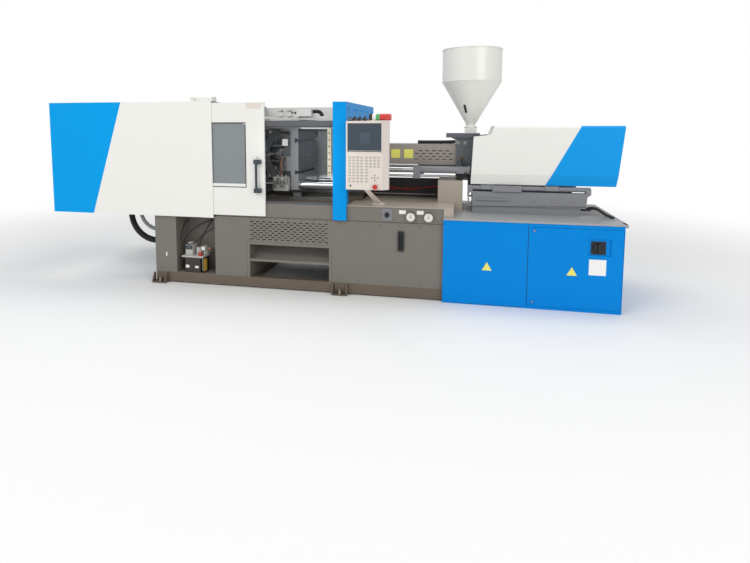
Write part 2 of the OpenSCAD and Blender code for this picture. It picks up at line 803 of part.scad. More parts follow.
// A bar between two round ends: centres a and b, radii ra and rb
module bar_outline(a, ra, b, rb) {
    run = b - a;
    length = norm(run);
    side = [-run[1], run[0]] / length;
    inset = 2;
    union() {
        translate(a) circle(r = ra);
        translate(b) circle(r = rb);
        polygon([a + side * (ra - inset), b + side * (rb - inset), b - side * (rb - inset), a - side * (ra - inset)]);
    }
}

rear_pivot = [rear_pivot_x, axis_z + pivot_rise];
knee = rear_pivot + link_len * [cos(fold), -sin(fold)];
front_pivot = [front_pivot_x, axis_z + pivot_rise];
cross_pin = rear_pivot + cross_len * [cos(cross_fold), -sin(cross_fold)];
cross_pivot = [cross_x, axis_z + pivot_rise];

module rear_link() {
    union() {
        both_sides() {
            for (y = [inner_cheek, outer_cheek])
                drawn_along_y(y, y + cheek_t)
                    union() {
                        bar_outline(rear_pivot, end_r, knee, knee_r);
                        if (y == inner_cheek) bar_outline(rear_pivot, end_r, cross_pin, cross_r);
                        if (y == inner_cheek) bar_outline(cross_pin, cross_r, knee, knee_r - 12);
                    }
            along_y(inner_cheek, outer_cheek + cheek_t, rear_pivot[0], rear_pivot[1], 2 * pin_r);
            along_y(inner_cheek, outer_cheek + cheek_t, knee[0], knee[1], 2 * pin_r);
        }
        along_y(-inner_cheek - 1, inner_cheek + 1, cross_pin[0], cross_pin[1], 2 * cross_pin_r);
    }
}

module front_link() {
    both_sides()
        difference() {
            union() {
                drawn_along_y(link_y - front_link_t / 2, link_y + front_link_t / 2) {
                    translate(knee) circle(r = knee_r);
                    translate(front_pivot) circle(r = end_r);
                }
                drawn_along_y(link_y - front_link_t / 2 + 6, link_y + front_link_t / 2 - 6)
                    bar_outline(knee, knee_r - 6, front_pivot, end_r - 6);
            }
            along_y(link_y - front_link_t, link_y + front_link_t, knee[0], knee[1], 2 * (pin_r + fit_gap));
            along_y(link_y - front_link_t, link_y + front_link_t, front_pivot[0], front_pivot[1], 2 * (pin_r + fit_gap));
        }
}

module cross_link() {
    both_sides()
        difference() {
            drawn_along_y(cross_y, cross_y + cross_t) bar_outline(cross_pin, cross_r, cross_pivot, cross_r);
            for (p = [cross_pin, cross_pivot])
                along_y(cross_y - 1, cross_y + cross_t + 1, p[0], p[1], 2 * (cross_pin_r + fit_gap));
        }
}

module upper_rear_link() place() color([0.50, 0.50, 0.52]) rear_link();
module lower_rear_link() place() color([0.50, 0.50, 0.52]) upside_down() rear_link();
module upper_front_link() place() color([0.62, 0.62, 0.63]) front_link();
module lower_front_link() place() color([0.62, 0.62, 0.63]) upside_down() front_link();
module upper_cross_link() place() color([0.55, 0.55, 0.56]) cross_link();
module lower_cross_link() place() color([0.55, 0.55, 0.56]) upside_down() cross_link();

bush_l = 76;
cross_plate = 30;
piston_back = rear_back - 350;

module crosshead() place() color([0.42, 0.42, 0.43]) {
    half = cross_y - 3;
    difference() {
        union() {
            block(cross_x - cross_plate / 2, cross_x + cross_plate / 2, -half, half,
                axis_z - pivot_rise, axis_z + pivot_rise);
            for (k = [-1, 1]) {
                along_x(cross_x - bush_l / 2, cross_x + bush_l / 2, 0, axis_z + k * guide_rise, guide_d + 26);
                along_y(-half, half, cross_x, axis_z + k * pivot_rise, 2 * cross_r);
                along_y(-cross_y - cross_t, cross_y + cross_t, cross_x, axis_z + k * pivot_rise, 2 * cross_pin_r);
            }
            along_x(piston_back, cross_x, 0, axis_z, clamp_rod_d);
            along_x(piston_back, piston_back + 40, 0, axis_z, clamp_d - 44);
        }
        for (k = [-1, 1])
            along_x(cross_x - bush_l, cross_x + bush_l, 0, axis_z + k * guide_rise, guide_d + 2 * fit_gap);
    }
}

module rear_platen() place() color([0.40, 0.40, 0.41]) {
    foot = strip_w - 6;
    difference() {
        union() {
            drawn_along_x(rear_back, rear_face) platen_outline(30);
            both_sides() {
                rear_ears();
                upside_down() rear_ears();
                block(rear_back, rear_face, strip_y - foot / 2, strip_y + foot / 2, strip_top + seat, platen_low);
            }
            for (k = [-1, 1]) along_x(rear_back + 20, front_pivot_x - 20, 0, axis_z + k * guide_rise, guide_d);
            for (y = [-tie_offset, tie_offset])
                for (z = [-tie_offset, tie_offset])
                    along_x(rear_back - 86, rear_back, y, axis_z + z, tie_d + 58);
        }
        tie_holes(rear_back - 90, rear_face + 1, fit_gap);
        along_x(rear_back - 1, rear_face + 1, 0, axis_z, clamp_rod_d + 2 * fit_gap);
    }
}

module rear_ears() {
    difference() {
        drawn_along_y(link_y - front_link_t / 2, link_y + front_link_t / 2)
            union() {
                translate(rear_pivot) circle(r = end_r);
                translate([rear_face - 1, rear_pivot[1] - end_r + 4])
                    square([rear_pivot[0] - rear_face + 1, 2 * end_r - 8]);
            }
        along_y(link_y - front_link_t, link_y + front_link_t, rear_pivot[0], rear_pivot[1], 2 * (pin_r + fit_gap));
    }
}

module clamp_cylinder() place() color([0.32, 0.33, 0.35]) {
    back = rear_back - clamp_len;
    difference() {
        union() {
            along_x(back, rear_back, 0, axis_z, clamp_d);
            block(rear_back - 50, rear_back, -130, 130, axis_z - 130, axis_z + 130);
            block(back - 40, back + 10, -120, 120, axis_z - 120, axis_z + 120);
            for (y = [-100, 100]) for (z = [-100, 100]) along_x(back, rear_back, y, axis_z + z, 24);
        }
        along_x(back + 10, rear_back - 50, 0, axis_z, clamp_d - 44 + 2);
        along_x(rear_back - 60, rear_back + 1, 0, axis_z, clamp_rod_d + 2 * fit_gap);
    }
}

ejector_plate_t = 18;
ejector_rest = moving_face - plate_t - ejector_stroke - 6;
ejector_seat = moving_face - plate_t - platen_box - 12;

module ejector_cylinder() place() color([0.3, 0.31, 0.33]) {
    difference() {
        union() {
            along_x(ejector_seat - 76, ejector_seat, 0, axis_z, 84);
            block(ejector_seat - 16, ejector_seat, -55, 55, axis_z - 50, axis_z + 50);
        }
        along_x(ejector_seat - 66, ejector_seat + 1, 0, axis_z, ejector_d + 6);
    }
}

module ejector_plate() place() color("silver") {
    union() {
        block(ejector_rest - ejector_plate_t, ejector_rest, -88, 88, axis_z - 30, axis_z + 30);
        for (y = ejector_ys) along_x(ejector_rest, moving_face - 3, y, axis_z, ejector_d);
        along_x(ejector_seat - 60, ejector_rest, 0, axis_z, ejector_d);
    }
}

// A switch box and its conduit on a sensor rail above the platens

sensor_low = platen_high + 16;
box_left = portal_left - 532;
box_right = portal_left - 382;

module switch_conduit() {
    bend = 48;
    straight = box_right + 45;
    union() {
        along_x(box_right, straight, 40, sensor_low + 20 + bend, 34);
        translate([straight, 40, sensor_low + 20])
            rotate([90, 0, 0]) rotate_extrude(angle = 90) translate([bend, 0]) circle(d = 34);
    }
}

module switch_box() place() {
    top = sensor_low + 20;
    color([0.9, 0.89, 0.85]) union() {
        block(cover_right - tube, portal_left, 20, 60, sensor_low, top);
        block(cover_right - tube, cover_right, 20, 60, sensor_low, cover_top - sheet - tube);
        block(box_left, box_right, -40, 80, top, top + 70);
        for (x = [box_left - 205, box_left - 115]) block(x, x + 46, 0, 70, top, top + 42);
    }
    color([0.12, 0.12, 0.12]) switch_conduit();
}

// Doors

module door(left, window_left) {
    right = left + door_w;
    window_right = window_left + window_w;
    back = -door_y + door_t;
    difference() {
        union() {
            block(left, right, -door_y, back, door_bottom, door_top);
            for (x = [left + 75, right - 115]) {
                block(x, x + 40, back, back + 20, rail_top + 6, rail_top + roller_d + 10);
                along_y(back, -rail_front + 36, x + 20, rail_top + roller_d / 2 + seat, roller_d);
            }
        }
        drawn_along_y(-door_y - 1, back + 1)
            polygon(round_rect(window_left, window_right, window_bottom, window_top, window_r));
        block(left + sheet + 8, window_left - 30, -door_y + sheet, back + 1, door_bottom + 10, rail_top - 60);
        block(window_right + 30, right - sheet - 8, -door_y + sheet, back + 1, door_bottom + 10, rail_top - 60);
        block(left + sheet + 8, right - sheet - 8, -door_y + sheet, back + 1, door_bottom + 10, window_bottom - 30);
    }
}

module window(window_left) {
    middle = -door_y + door_t / 2;
    drawn_along_y(middle - 2.5, middle + 2.5)
        polygon(round_rect(window_left + seat, window_left + window_w - seat, window_bottom + seat,
            window_top - seat, window_r));
}

front_left = door_right - door_w;
front_window_left = door_right - window_margin - window_w;
rear_left = portal_left - 2 - door_w;
rear_window_left = rear_left + door_w - window_margin - window_w;
handle_low = 884;
handle_high = 1178;
grip_foot = 38;

module handle(x) {
    for (z = [handle_low, handle_high - grip_foot])
        block(x - 20, x + 40, -door_y - 46, -door_y, z, z + grip_foot);
    translate([x, -door_y - 34, handle_low + 10]) cylinder(h = handle_high - handle_low - 20, d = 22);
}

module front_door() place() color([0.94, 0.93, 0.90]) door(front_left, front_window_left);
module front_window() place() color([0.62, 0.66, 0.70, 0.5]) window(front_window_left);
module front_handle() place() color([0.15, 0.17, 0.20]) union() handle(door_right - 68);
module rear_door() place() color([0.94, 0.93, 0.90]) mirror([0, 1, 0]) union() {
    door(rear_left, rear_window_left);
    handle(rear_left + door_w - 68);
}
module rear_window() place() color([0.62, 0.66, 0.70, 0.5]) mirror([0, 1, 0]) window(rear_window_left);

// Injection unit

module screw_outline() translate([screw_d * 0.07, 0]) circle(r = screw_d * 0.42, $fn = 20);

screw_back = throat_left + throat_len + 60;

module screw() place() color("silver") {
    front = barrel_front + 30;
    flight_end = throat_left + throat_len - 20;
    pitch = screw_d;
    length = flight_end - front - 50;
    translate([front + 50, 0, axis_z])
        rotate([0, 90, 0])
            linear_extrude(length, twist = -360 * length / pitch, slices = 96) screw_outline();
    translate([front, 0, axis_z])
        rotate([0, 90, 0])
            cylinder(h = 50, d1 = 8, d2 = screw_d * 0.7);
    along_x(front + 50 + length, screw_back, 0, axis_z, screw_d - 8);
}

module barrel() place() color([0.45, 0.44, 0.44]) {
    difference() {
        union() {
            along_x(barrel_front, throat_left, 0, axis_z, barrel_d);
            translate([nozzle_tip, 0, axis_z])
                rotate([0, 90, 0])
                    rotate_extrude()
                        polygon([[0, 0], [9, 0], [22, 12], [24, nozzle_len - 40], [40, nozzle_len - 30], [40, nozzle_len], [0, nozzle_len]]);
            for (x = [guard_left + 30:130:throat_left - 110]) along_x(x, x + 90, 0, axis_z, band_d);
        }
        along_x(barrel_front + 20, throat_left + 1, 0, axis_z, screw_d + 2);
        along_x(nozzle_tip - 1, barrel_front + 21, 0, axis_z, 8);
    }
}

guard_sheet = 2;
guard_slot_l = 35;

module barrel_guard() place() color([0.60, 0.58, 0.54]) {
    right = throat_left - seat;
    difference() {
        block(guard_left, right, -guard_half, guard_half, guard_bottom, guard_top);
        block(guard_left - 1, right + 1, -guard_half + guard_sheet, guard_half - guard_sheet,
            guard_bottom - 1, guard_top - guard_sheet);
        for (row = [0:3])
            for (col = [0:5 - row % 2]) {
                x = throat_left - 372 + col * 62 + (row % 2) * 31;
                z = axis_z - 26 + row * 26;
                block(x, x + guard_slot_l, -guard_half - 1, guard_half + 1, z, z + 8);
            }
    }
    for (y = [-1, 1])
        block(guard_left + 60, guard_left + 90, y > 0 ? band_d / 2 : -guard_half + guard_sheet,
            y > 0 ? guard_half - guard_sheet : -band_d / 2, axis_z - 15, axis_z + 15);
}

throat_half = 150;
slide_low = slide_top - 40;
feed_half = 25;

module feed_passage(z0, z1) block(hopper_x - feed_half, hopper_x + feed_half, -feed_half, feed_half, z0, z1);

module throat_block() place() color([0.42, 0.44, 0.46]) {
    difference() {
        union() {
            block(throat_left, throat_left + throat_len, -throat_half, throat_half, throat_low, throat_top);
            block(throat_left, throat_left + throat_len, -throat_half - 30, throat_half + 30,
                carriage_top, throat_low + 8);
        }
        along_x(throat_left - 1, throat_left + throat_len + 1, 0, axis_z, screw_d + 2);
        feed_passage(axis_z, throat_top + 1);
    }
}

module hopper_slide() place() color([0.42, 0.44, 0.46]) {
    difference() {
        union() {
            drawn_along_y(-100, 100)
                polygon([[throat_left, throat_top], [hopper_x + 60, throat_top], [hopper_x + 60, slide_low + 1],
                    [throat_left - 48, slide_low + 1]]);
            block(hopper_x - 218, hopper_x + 84, -110, 110, slide_low, slide_top);
        }
        feed_passage(throat_top - 1, slide_top + 1);
    }
}

hopper_wall = 4;
lid_hinge_l = 60;

module hopper() place() color([0.90, 0.89, 0.86]) {
    r = hopper_d / 2;
    union() {
        translate([hopper_x, 0, 0])
            rotate_extrude()
                polygon([[outlet_r, hopper_neck - 30], [outlet_r + 24, hopper_neck - 30], [outlet_r + 24, hopper_neck - 20],
                    [outlet_r + hopper_wall, hopper_neck - 20], [outlet_r + hopper_wall, hopper_neck],
                    [r, hopper_shoulder], [r, hopper_top - 14], [r - hopper_wall, hopper_top - 14],
                    [r - hopper_wall, hopper_shoulder], [outlet_r, hopper_neck]]);
        difference() {
            block(hopper_x - outlet_r - 18, hopper_x + outlet_r + 18, -outlet_r - 18, outlet_r + 18, slide_top, hopper_neck - 30);
            feed_passage(slide_top - 1, hopper_neck);
        }
        for (x = [hopper_x - lid_hinge_l / 2 - 14, hopper_x + lid_hinge_l / 2 + 2])
            drawn_along_x(x, x + 12)
                polygon([[r - 5, hopper_top - 40], [r - 5, hopper_top - 16], [r + 4, hopper_top - 16], [r + 4, hopper_top - 8],
                    [r + 16, hopper_top - 8], [r + 16, hopper_top - 22]]);
        along_x(hopper_x - lid_hinge_l / 2 - 14, hopper_x + lid_hinge_l / 2 + 14, r + 10, hopper_top - 14, 6);
    }
}

module hopper_lid() place() color([0.86, 0.86, 0.84]) {
    r = hopper_d / 2;
    hinge_z = hopper_top - 14;
    difference() {
        union() {
            translate([hopper_x, 0, 0])
                rotate_extrude()
                    polygon([[0, hopper_top - 14], [r - 7.5, hinge_z + seat - 4], [r - 7.5, hopper_top - 30], [r - 5.5, hopper_top - 30],
                        [r - 5.5, hinge_z + seat], [r + 2, hinge_z + seat], [r + 2, hopper_top - 10], [0, hopper_top - 2]]);
            translate([hopper_x, 0, hopper_top - 4]) cylinder(h = 4, d = 60);
            block(hopper_x - lid_hinge_l / 2, hopper_x + lid_hinge_l / 2, r - 4, r + 10, hopper_top - 12, hopper_top - 9);
            along_x(hopper_x - lid_hinge_l / 2, hopper_x + lid_hinge_l / 2, r + 10, hinge_z, 12);
        }
        along_x(hopper_x - lid_hinge_l, hopper_x + lid_hinge_l, r + 10, hinge_z, 6 + 2 * fit_gap);
    }
}

carriage_low = rail_z + rail_d / 2 + 14;
shoe_xs = [1462, 1990];
shoe_top = rail_z + rail_d / 2 + 6;
cover_tabs = [1640, 2160];
shoe_l = 110;

module carriage_base() place() color([0.52, 0.53, 0.54]) {
    difference() {
        union() {
            block(inj_left + 16, rail_right - 40, -290, 290, carriage_low, carriage_top);
            both_sides() for (x = shoe_xs) {
                block(x, x + shoe_l, -rail_y - 22, -rail_y + 42, rail_z - 14, shoe_top);
                block(x, x + shoe_l, -rail_y + 12, -280, shoe_top - 6, carriage_top - 6);
            }
            block(shoe_xs[0] + 98, shoe_xs[0] + 337, -rail_y - 48, -rail_y - 21, rail_z - 27, rail_z + 25);
            both_sides() for (x = cover_tabs) {
                block(x, x + 40, -290, -280, carriage_low, inj_fold + 60);
                block(x, x + 40, -inj_half + guard_sheet + seat, -280, inj_fold + 50, inj_fold + 60);
            }
        }
        for (y = [-rail_y, rail_y]) along_x(rail_left, rail_right, y, rail_z, rail_d + 2 * fit_gap);
    }
}

plinth_top = deck_z + 62;
lip_top = rail_z - 31;

module carriage_rails() place() color([0.50, 0.51, 0.52]) {
    both_sides() {
        union() {
            block(rail_left + 40, rail_right - 80, -rail_y - 6, -rail_y + 34, deck_z, plinth_top);
            drawn_along_y(-rail_y - 26, -rail_y - 16)
                polygon([[rail_left + 38, plinth_top], [rail_right - 34, plinth_top + 20], [rail_right - 28, lip_top - 30],
                    [rail_right, lip_top - 8], [rail_right, lip_top], [rail_left + 38, lip_top]]);
            block(rail_left, rail_right, -rail_y - 26, -rail_y + 34, lip_top - 12, lip_top);
            block(rail_left, rail_right - 34, -rail_y - 16, -rail_y + 34, plinth_top, plinth_top + 12);
            for (x = [rail_left, 1700, rail_right - 46])
                block(x, x + 12, -rail_y - 16, -rail_y + 34, plinth_top, lip_top);
            for (x = [rail_left, rail_right - 40])
                block(x, x + 40, -rail_y - 26, -rail_y + 34, lip_top, rail_z + 8);
            along_x(rail_left + 2, rail_right - 2, -rail_y, rail_z, rail_d);
        }
        block(rail_left + 80, rail_left + 340, -rail_y - 42, -rail_y - 26, plinth_top + 54, plinth_top + 72);
    }
    for (x = [rail_left + 60, rail_right - 160])
        block(x, x + 60, -rail_y + 34, rail_y - 34, deck_z, plinth_top + 12);
}

pull_rod_end = 1280;
guide_rod_d = 22;
guide_rod_z = pull_z - 58;

module pull_rods() place() color("silver") {
    both_sides() {
        along_x(fixed_back, pull_rod_end, -pull_y, pull_z, pull_rod_d);
        along_x(fixed_back, 1180, -pull_y, guide_rod_z, guide_rod_d);
    }
}

head_x = 866;

module pull_cylinders() place() color([0.55, 0.56, 0.57]) {
    both_sides()
        difference() {
            union() {
                along_x(head_x + 20, throat_left + throat_len - 100, -pull_y, pull_z, pull_d);
                block(head_x, head_x + 60, -pull_y - 36, -pull_y + 36, guide_rod_z - 22, pull_z + 36);
                block(throat_left + 10, throat_left + 80, -pull_y - 30, -throat_half, pull_z - 30, pull_z + 30);
            }
            along_x(head_x - 1, throat_left + throat_len - 112, -pull_y, pull_z, pull_rod_d + 2 * fit_gap);
            along_x(head_x - 1, head_x + 61, -pull_y, guide_rod_z, guide_rod_d + 2 * fit_gap);
        }
}

ram_left = throat_left + throat_len;
ram_right = 1900;
ram_d = 110;
ram_rod_d = 55;
thrust_left = 1960;
thrust_t = 70;

module injection_cylinders() place() color([0.33, 0.34, 0.36]) {
    both_sides()
        difference() {
            union() {
                along_x(ram_left, ram_right, -ram_y, axis_z, ram_d);
                block(ram_left, ram_left + 40, -ram_y - 70, -ram_y + 70, carriage_top, axis_z + 70);
                block(ram_right - 60, ram_right, -ram_y - 65, -ram_y + 65, carriage_top, axis_z + 65);
            }
            along_x(ram_left + 50, ram_right + 1, -ram_y, axis_z, ram_rod_d + 2 * fit_gap);
        }
}

module thrust_plate() place() color([0.38, 0.39, 0.41]) {
    back = thrust_left + thrust_t;
    union() {
        block(thrust_left, back, -ram_y - 60, ram_y + 60, axis_z - 95, axis_z + 95);
        along_x(back, back + 210, 0, axis_z, 190);
        block(back + 40, back + 150, -60, 60, axis_z + 70, axis_z + 140);
        along_x(screw_back + seat, thrust_left, 0, axis_z, 70);
        for (y = [-ram_y, ram_y]) along_x(ram_left + 60, thrust_left, y, axis_z, ram_rod_d);
        for (y = [-150, 110]) block(thrust_left, back, y, y + 40, carriage_top + seat, axis_z - 95);
    }
}

notch_left = inj_left + 18;
notch_right = 1535;
notch_z = 1380;

function cover_side(t) = [[inj_left + t, inj_bottom - (t > 0 ? 1 : 0)], [notch_left + t, notch_z - t], [notch_right + t, notch_z + 17 - t],
    [notch_right + 33 + t, inj_top - t], [injection_reach - t, inj_top - t], [injection_reach - 48 - t, inj_bottom - (t > 0 ? 1 : 0)]];
function cover_end(t) = [[-inj_half + 26 + t, inj_bottom - (t > 0 ? 2 : 0)], [-inj_half + t, inj_fold], [-inj_half + t, inj_top - 18],
    [-inj_half + 18 + t, inj_top - t], [inj_half - 18 - t, inj_top - t], [inj_half - t, inj_top - 18], [inj_half - t, inj_fold],
    [inj_half - 26 - t, inj_bottom - (t > 0 ? 2 : 0)]];

module cover_solid(t) intersection() {
    drawn_along_y(-inj_half - 10, inj_half + 10) polygon(cover_side(t));
    drawn_along_x(inj_left - 10, injection_reach + 10) polygon(cover_end(t));
}

module injection_cover() place() color([0.92, 0.92, 0.90]) {
    difference() {
        cover_solid(0);
        cover_solid(guard_sheet);
        block(inj_left - 5, notch_right - 20, -throat_half - 80, throat_half + 80, inj_bottom - 5, inj_top);
    }
}

// Cabinet

module cabinet_shell() place() color([0.0, 0.50, 0.83]) {
    door_back = -half_depth + cabinet_door_t;
    union() {
        difference() {
            block(cabinet_left, cabinet_right, -half_depth, cabinet_back, 0, cabinet_h);
            block(cabinet_left + sheet, cabinet_right - sheet, -half_depth + sheet, cabinet_back - sheet, sheet, cabinet_h + 1);
            block(cabinet_split, cabinet_right - 4, -half_depth - 1, -half_depth + sheet + 1, 22, cabinet_h - 30);
            for (z = [pivot_low, pivot_high]) along_z_tube(door_hinge_x, door_hinge_y, z - 3, z + 15, 2 * (hinge_pin_r + fit_gap));
        }
        for (z = [pivot_low, pivot_high]) difference() {
            block(door_hinge_x - 12, cabinet_right - sheet + 1, -half_depth + 1, -half_depth + 16, z, z + 12);
            along_z_tube(door_hinge_x, door_hinge_y, z - 1, z + 13, 2 * (hinge_pin_r + fit_gap));
        }
        block(cabinet_split - 40, cabinet_split - sheet, -half_depth + sheet, door_back + 20, sheet, cabinet_h);
        difference() {
            block(cabinet_split - sheet, cabinet_right - sheet, door_back + door_gap, door_back + door_gap + sheet, sheet, cabinet_h);
            block(cabinet_split + 30, cabinet_right - 40, door_back, door_back + 10, 50, cabinet_h - 60);
        }
        block(cabinet_left + sheet, cabinet_right - sheet, -30, 30, cabinet_h - 40, cabinet_h);
    }
}

door_gap = 0.8;
door_hinge_x = cabinet_right - 10;
door_hinge_y = -half_depth + 4;
hinge_pin_r = 2.5;
pivot_low = 8;
pivot_high = cabinet_h - 28;

module cabinet_deck() place() color([0.50, 0.49, 0.48]) {
    union() {
        block(cabinet_left, cabinet_right + 20, -half_depth - 8, cabinet_back + 6, cabinet_h, deck_z);
        block(cabinet_right + 14, cabinet_right + 20, -half_depth - 8, cabinet_back + 6, cabinet_h - 8, cabinet_h);
    }
}

module electric_plate() place() color([0.75, 0.75, 0.73]) {
    back = 60;
    left = cabinet_split + 48;
    right = cabinet_right - 60;
    union() {
        block(left, right, back, back + 4, 60, cabinet_h - 60);
        for (x = [left, right - 40]) for (z = [60, cabinet_h - 100]) block(x, x + 40, back + 4, cabinet_back - sheet, z, z + 40);
        for (row = [0:2]) {
            low = 115 + row * (cabinet_h - 190) / 3;
            block(left + 20, right - 20, back - 10, back, low + 25, low + 60);
            for (col = [0:6 - row])
                block(left + 30 + col * 76, left + 92 + col * 76, back - 80, back - 10, low, low + 90);
        }
    }
}

isolator_x = cabinet_right - 186;
isolator_z = cabinet_h - 178;

module cabinet_door() place() color([0.0, 0.50, 0.83]) {
    left = cabinet_split + 2;
    right = cabinet_right - 6;
    front = -half_depth;
    difference() {
        block(left, right, front, front + cabinet_door_t, 24, cabinet_h - 32);
        difference() {
            block(left + 3, right - 3, front + 3, front + cabinet_door_t + 1, 27, cabinet_h - 35);
            for (z = [26, cabinet_h - 50]) block(right - 16, right, front, front + 12, z, z + 16);
        }
        block(isolator_x - 75, isolator_x + 92, front - 1, front + 4, isolator_z - 62, isolator_z + 71);
    }
    difference() {
        block(isolator_x - 80, isolator_x + 97, front + 3, front + cabinet_door_t, isolator_z - 67, isolator_z + 76);
        block(isolator_x - 75, isolator_x + 92, front + 2, front + 9, isolator_z - 62, isolator_z + 71);
        along_y(front, front + 30, isolator_x, isolator_z, 12);
    }
    for (z = [cabinet_h - 59, 60]) along_y(front - 6, front, cabinet_split + 43, z, 26);
    for (z = [pivot_low + 2, pivot_high - 5]) along_z_tube(door_hinge_x, door_hinge_y, z, z + 15, 2 * hinge_pin_r);
}

module isolator_knob() place() color([0.12, 0.12, 0.13]) {
    front = -half_depth;
    union() {
        along_y(front - 10, front + 8, isolator_x, isolator_z, 2 * isolator_r);
        block(isolator_x - 8, isolator_x + 8, front - 28, front - 10, isolator_z - isolator_r + 4, isolator_z + isolator_r - 4);
        along_y(front + 8, front + 18, isolator_x, isolator_z, 11.8);
    }
}

module selector_knob() place() color([0.1, 0.1, 0.1]) {
    front = -skin_y - 7;
    union() {
        along_y(front - 18, front - seat, selector_x, selector_z, 40);
        block(selector_x - 6, selector_x + 6, front - 34, front - 18, selector_z - 22, selector_z + 22);
        along_y(front - seat, -beam_y - 1, selector_x, selector_z, 21.8);
    }
}

// Control panel

panel_pivot_x = 500;
panel_pivot_y = -690;
screen = [12, 18, 287, 237];

module control_panel() place() color([0.87, 0.85, 0.83]) {
    top = panel_bottom + panel_h;
    back = -panel_front + panel_d;
    right = panel_left + panel_w;
    difference() {
        union() {
            translate([0, 0, panel_bottom])
                linear_extrude(panel_h)
                    polygon([[panel_left, -panel_front], [right, -panel_front], [right + 49, -panel_front + 48],
                        [right + 49, back], [panel_left, back]]);
            block(panel_pivot_x - 45, panel_pivot_x + 45, back, panel_pivot_y + 20, panel_bottom + 40, panel_bottom + 120);
        }
        block(panel_left + screen[0], panel_left + screen[0] + screen[2], -panel_front - 1, -panel_front + 3,
            top - screen[1] - screen[3], top - screen[1]);
        along_y(-panel_front - 1, -panel_front + 24, stop_x, stop_z, 20);
        translate([panel_pivot_x, panel_pivot_y, panel_bottom]) cylinder(h = 200, r = 15 + fit_gap);
    }
    color([0.2, 0.2, 0.2]) for (x = [0:3]) along_z_tube(panel_left + 60 + x * 45, back - 34, top, top + 22, 24);
    color("tomato") union() {
        along_x(panel_left + 190, right + 62, back - 40, top + 31, 54);
        block(panel_left + 200, panel_left + 240, back - 56, back - 24, top, top + 20);
    }
}

stop_x = 604;
stop_z = 972;

module stop_button() place() color([0.85, 0.25, 0.2]) {
    union() {
        along_y(-panel_front - stop_h, -panel_front - stop_h + 14, stop_x, stop_z, 2 * stop_r + 6);
        along_y(-panel_front - stop_h + 14, -panel_front + 12, stop_x, stop_z, 19.8);
    }
}

module panel_bracket() place() color([0.85, 0.84, 0.82]) {
    base_x = panel_pivot_x;
    deck = beam_top + 12;
    run = 170;
    drop = panel_bottom - 2 - deck;
    union() {
        translate([base_x, panel_pivot_y, deck + drop])
            rotate([-atan2(drop, run), 0, 0])
                linear_extrude(8) polygon([[-20, 0], [20, 0], [118, norm([run, drop])], [62, norm([run, drop])]]);
        block(base_x + 40, base_x + 140, panel_pivot_y + run - 40, panel_pivot_y + run + 30, deck, deck + 8);
        block(base_x - 20, base_x + 20, panel_pivot_y - 6, panel_pivot_y + 24, deck + drop - 4, panel_bottom + 40 - seat);
        translate([base_x, panel_pivot_y, panel_bottom + 20]) cylinder(h = 20 - seat, r = 26);
        translate([base_x, panel_pivot_y, panel_bottom + 20]) cylinder(h = 110, r = 15);
    }
}

bed_frame();
bed_panels();
discharge_chute();
gauge_strip();
bed_deck();
anchor_brackets();
gauges();
lube_pump();
lube_tank();
clamp_hose();
drain_hose();
portal_guard();
door_rails();
clamp_covers();
cover_frame();
end_guard();
fixed_platen();
tie_bars();
tie_bar_nuts();
switch_box();
carriage_rails();
pull_rods();
cabinet_shell();
cabinet_deck();
electric_plate();
panel_bracket();
selector_knob();
front_door();
front_window();
front_handle();
rear_door();
rear_window();
rear_platen();
clamp_cylinder();
upper_rear_link();
upper_front_link();
lower_rear_link();
lower_front_link();
upper_cross_link();
lower_cross_link();
crosshead();
moving_platen();
ejector_cylinder();
ejector_plate();
carriage_base();
pull_cylinders();
barrel();
barrel_guard();
throat_block();
hopper_slide();
hopper();
hopper_lid();
screw();
thrust_plate();
injection_cylinders();
injection_cover();
cabinet_door();
isolator_knob();
control_panel();
stop_button();
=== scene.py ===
import math

import bpy
from mathutils import Matrix, Vector


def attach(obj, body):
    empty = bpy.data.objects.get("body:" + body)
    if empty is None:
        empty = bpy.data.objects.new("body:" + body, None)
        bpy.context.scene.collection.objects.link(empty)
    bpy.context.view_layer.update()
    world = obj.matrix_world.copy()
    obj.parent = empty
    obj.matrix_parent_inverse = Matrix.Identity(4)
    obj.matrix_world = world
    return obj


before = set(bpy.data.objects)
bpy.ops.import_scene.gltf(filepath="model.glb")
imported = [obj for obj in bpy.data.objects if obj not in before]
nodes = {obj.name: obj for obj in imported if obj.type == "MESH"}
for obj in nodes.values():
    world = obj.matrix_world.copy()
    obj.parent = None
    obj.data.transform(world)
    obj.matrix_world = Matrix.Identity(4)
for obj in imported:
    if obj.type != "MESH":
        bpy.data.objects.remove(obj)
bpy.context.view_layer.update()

# %% [markdown]
# # Injection moulding machine
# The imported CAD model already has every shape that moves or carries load: frame, platens, toggle links,
# doors, barrel, hopper, cabinet and control panel. This file gives those pieces the surface of the real
# ones, and adds the small visible pieces that ride on them: dials, keys, lenses, leads, bolts, ribs of
# hoses and plain plates. At the end come the light and the camera.
#
# All sizes are millimetres, measured from the machine's middle plane. The model's origin lies 44 mm in
# front of that plane, because the control panel stands out on the operator's side.

# %% Places and colours
MID = 44.0
AXIS = {"x": Vector((1, 0, 0)), "y": Vector((0, 1, 0)), "z": Vector((0, 0, 1))}
FORWARD = Vector((0, -1, 0))


def at(x, y, z):
    """A place in machine millimetres as a point in Blender's metres."""
    return Vector((x / 1000, (y + MID) / 1000, z / 1000))


def linear(code):
    """A colour, such as #F1F0EB, as the linear values that a shader needs."""
    out = []
    for k in (1, 3, 5):
        v = int(code[k:k + 2], 16) / 255
        # The two parts of the sRGB curve
        out.append(v / 12.92 if v <= 0.04045 else ((v + 0.055) / 1.055) ** 2.4)
    return (out[0], out[1], out[2], 1.0)


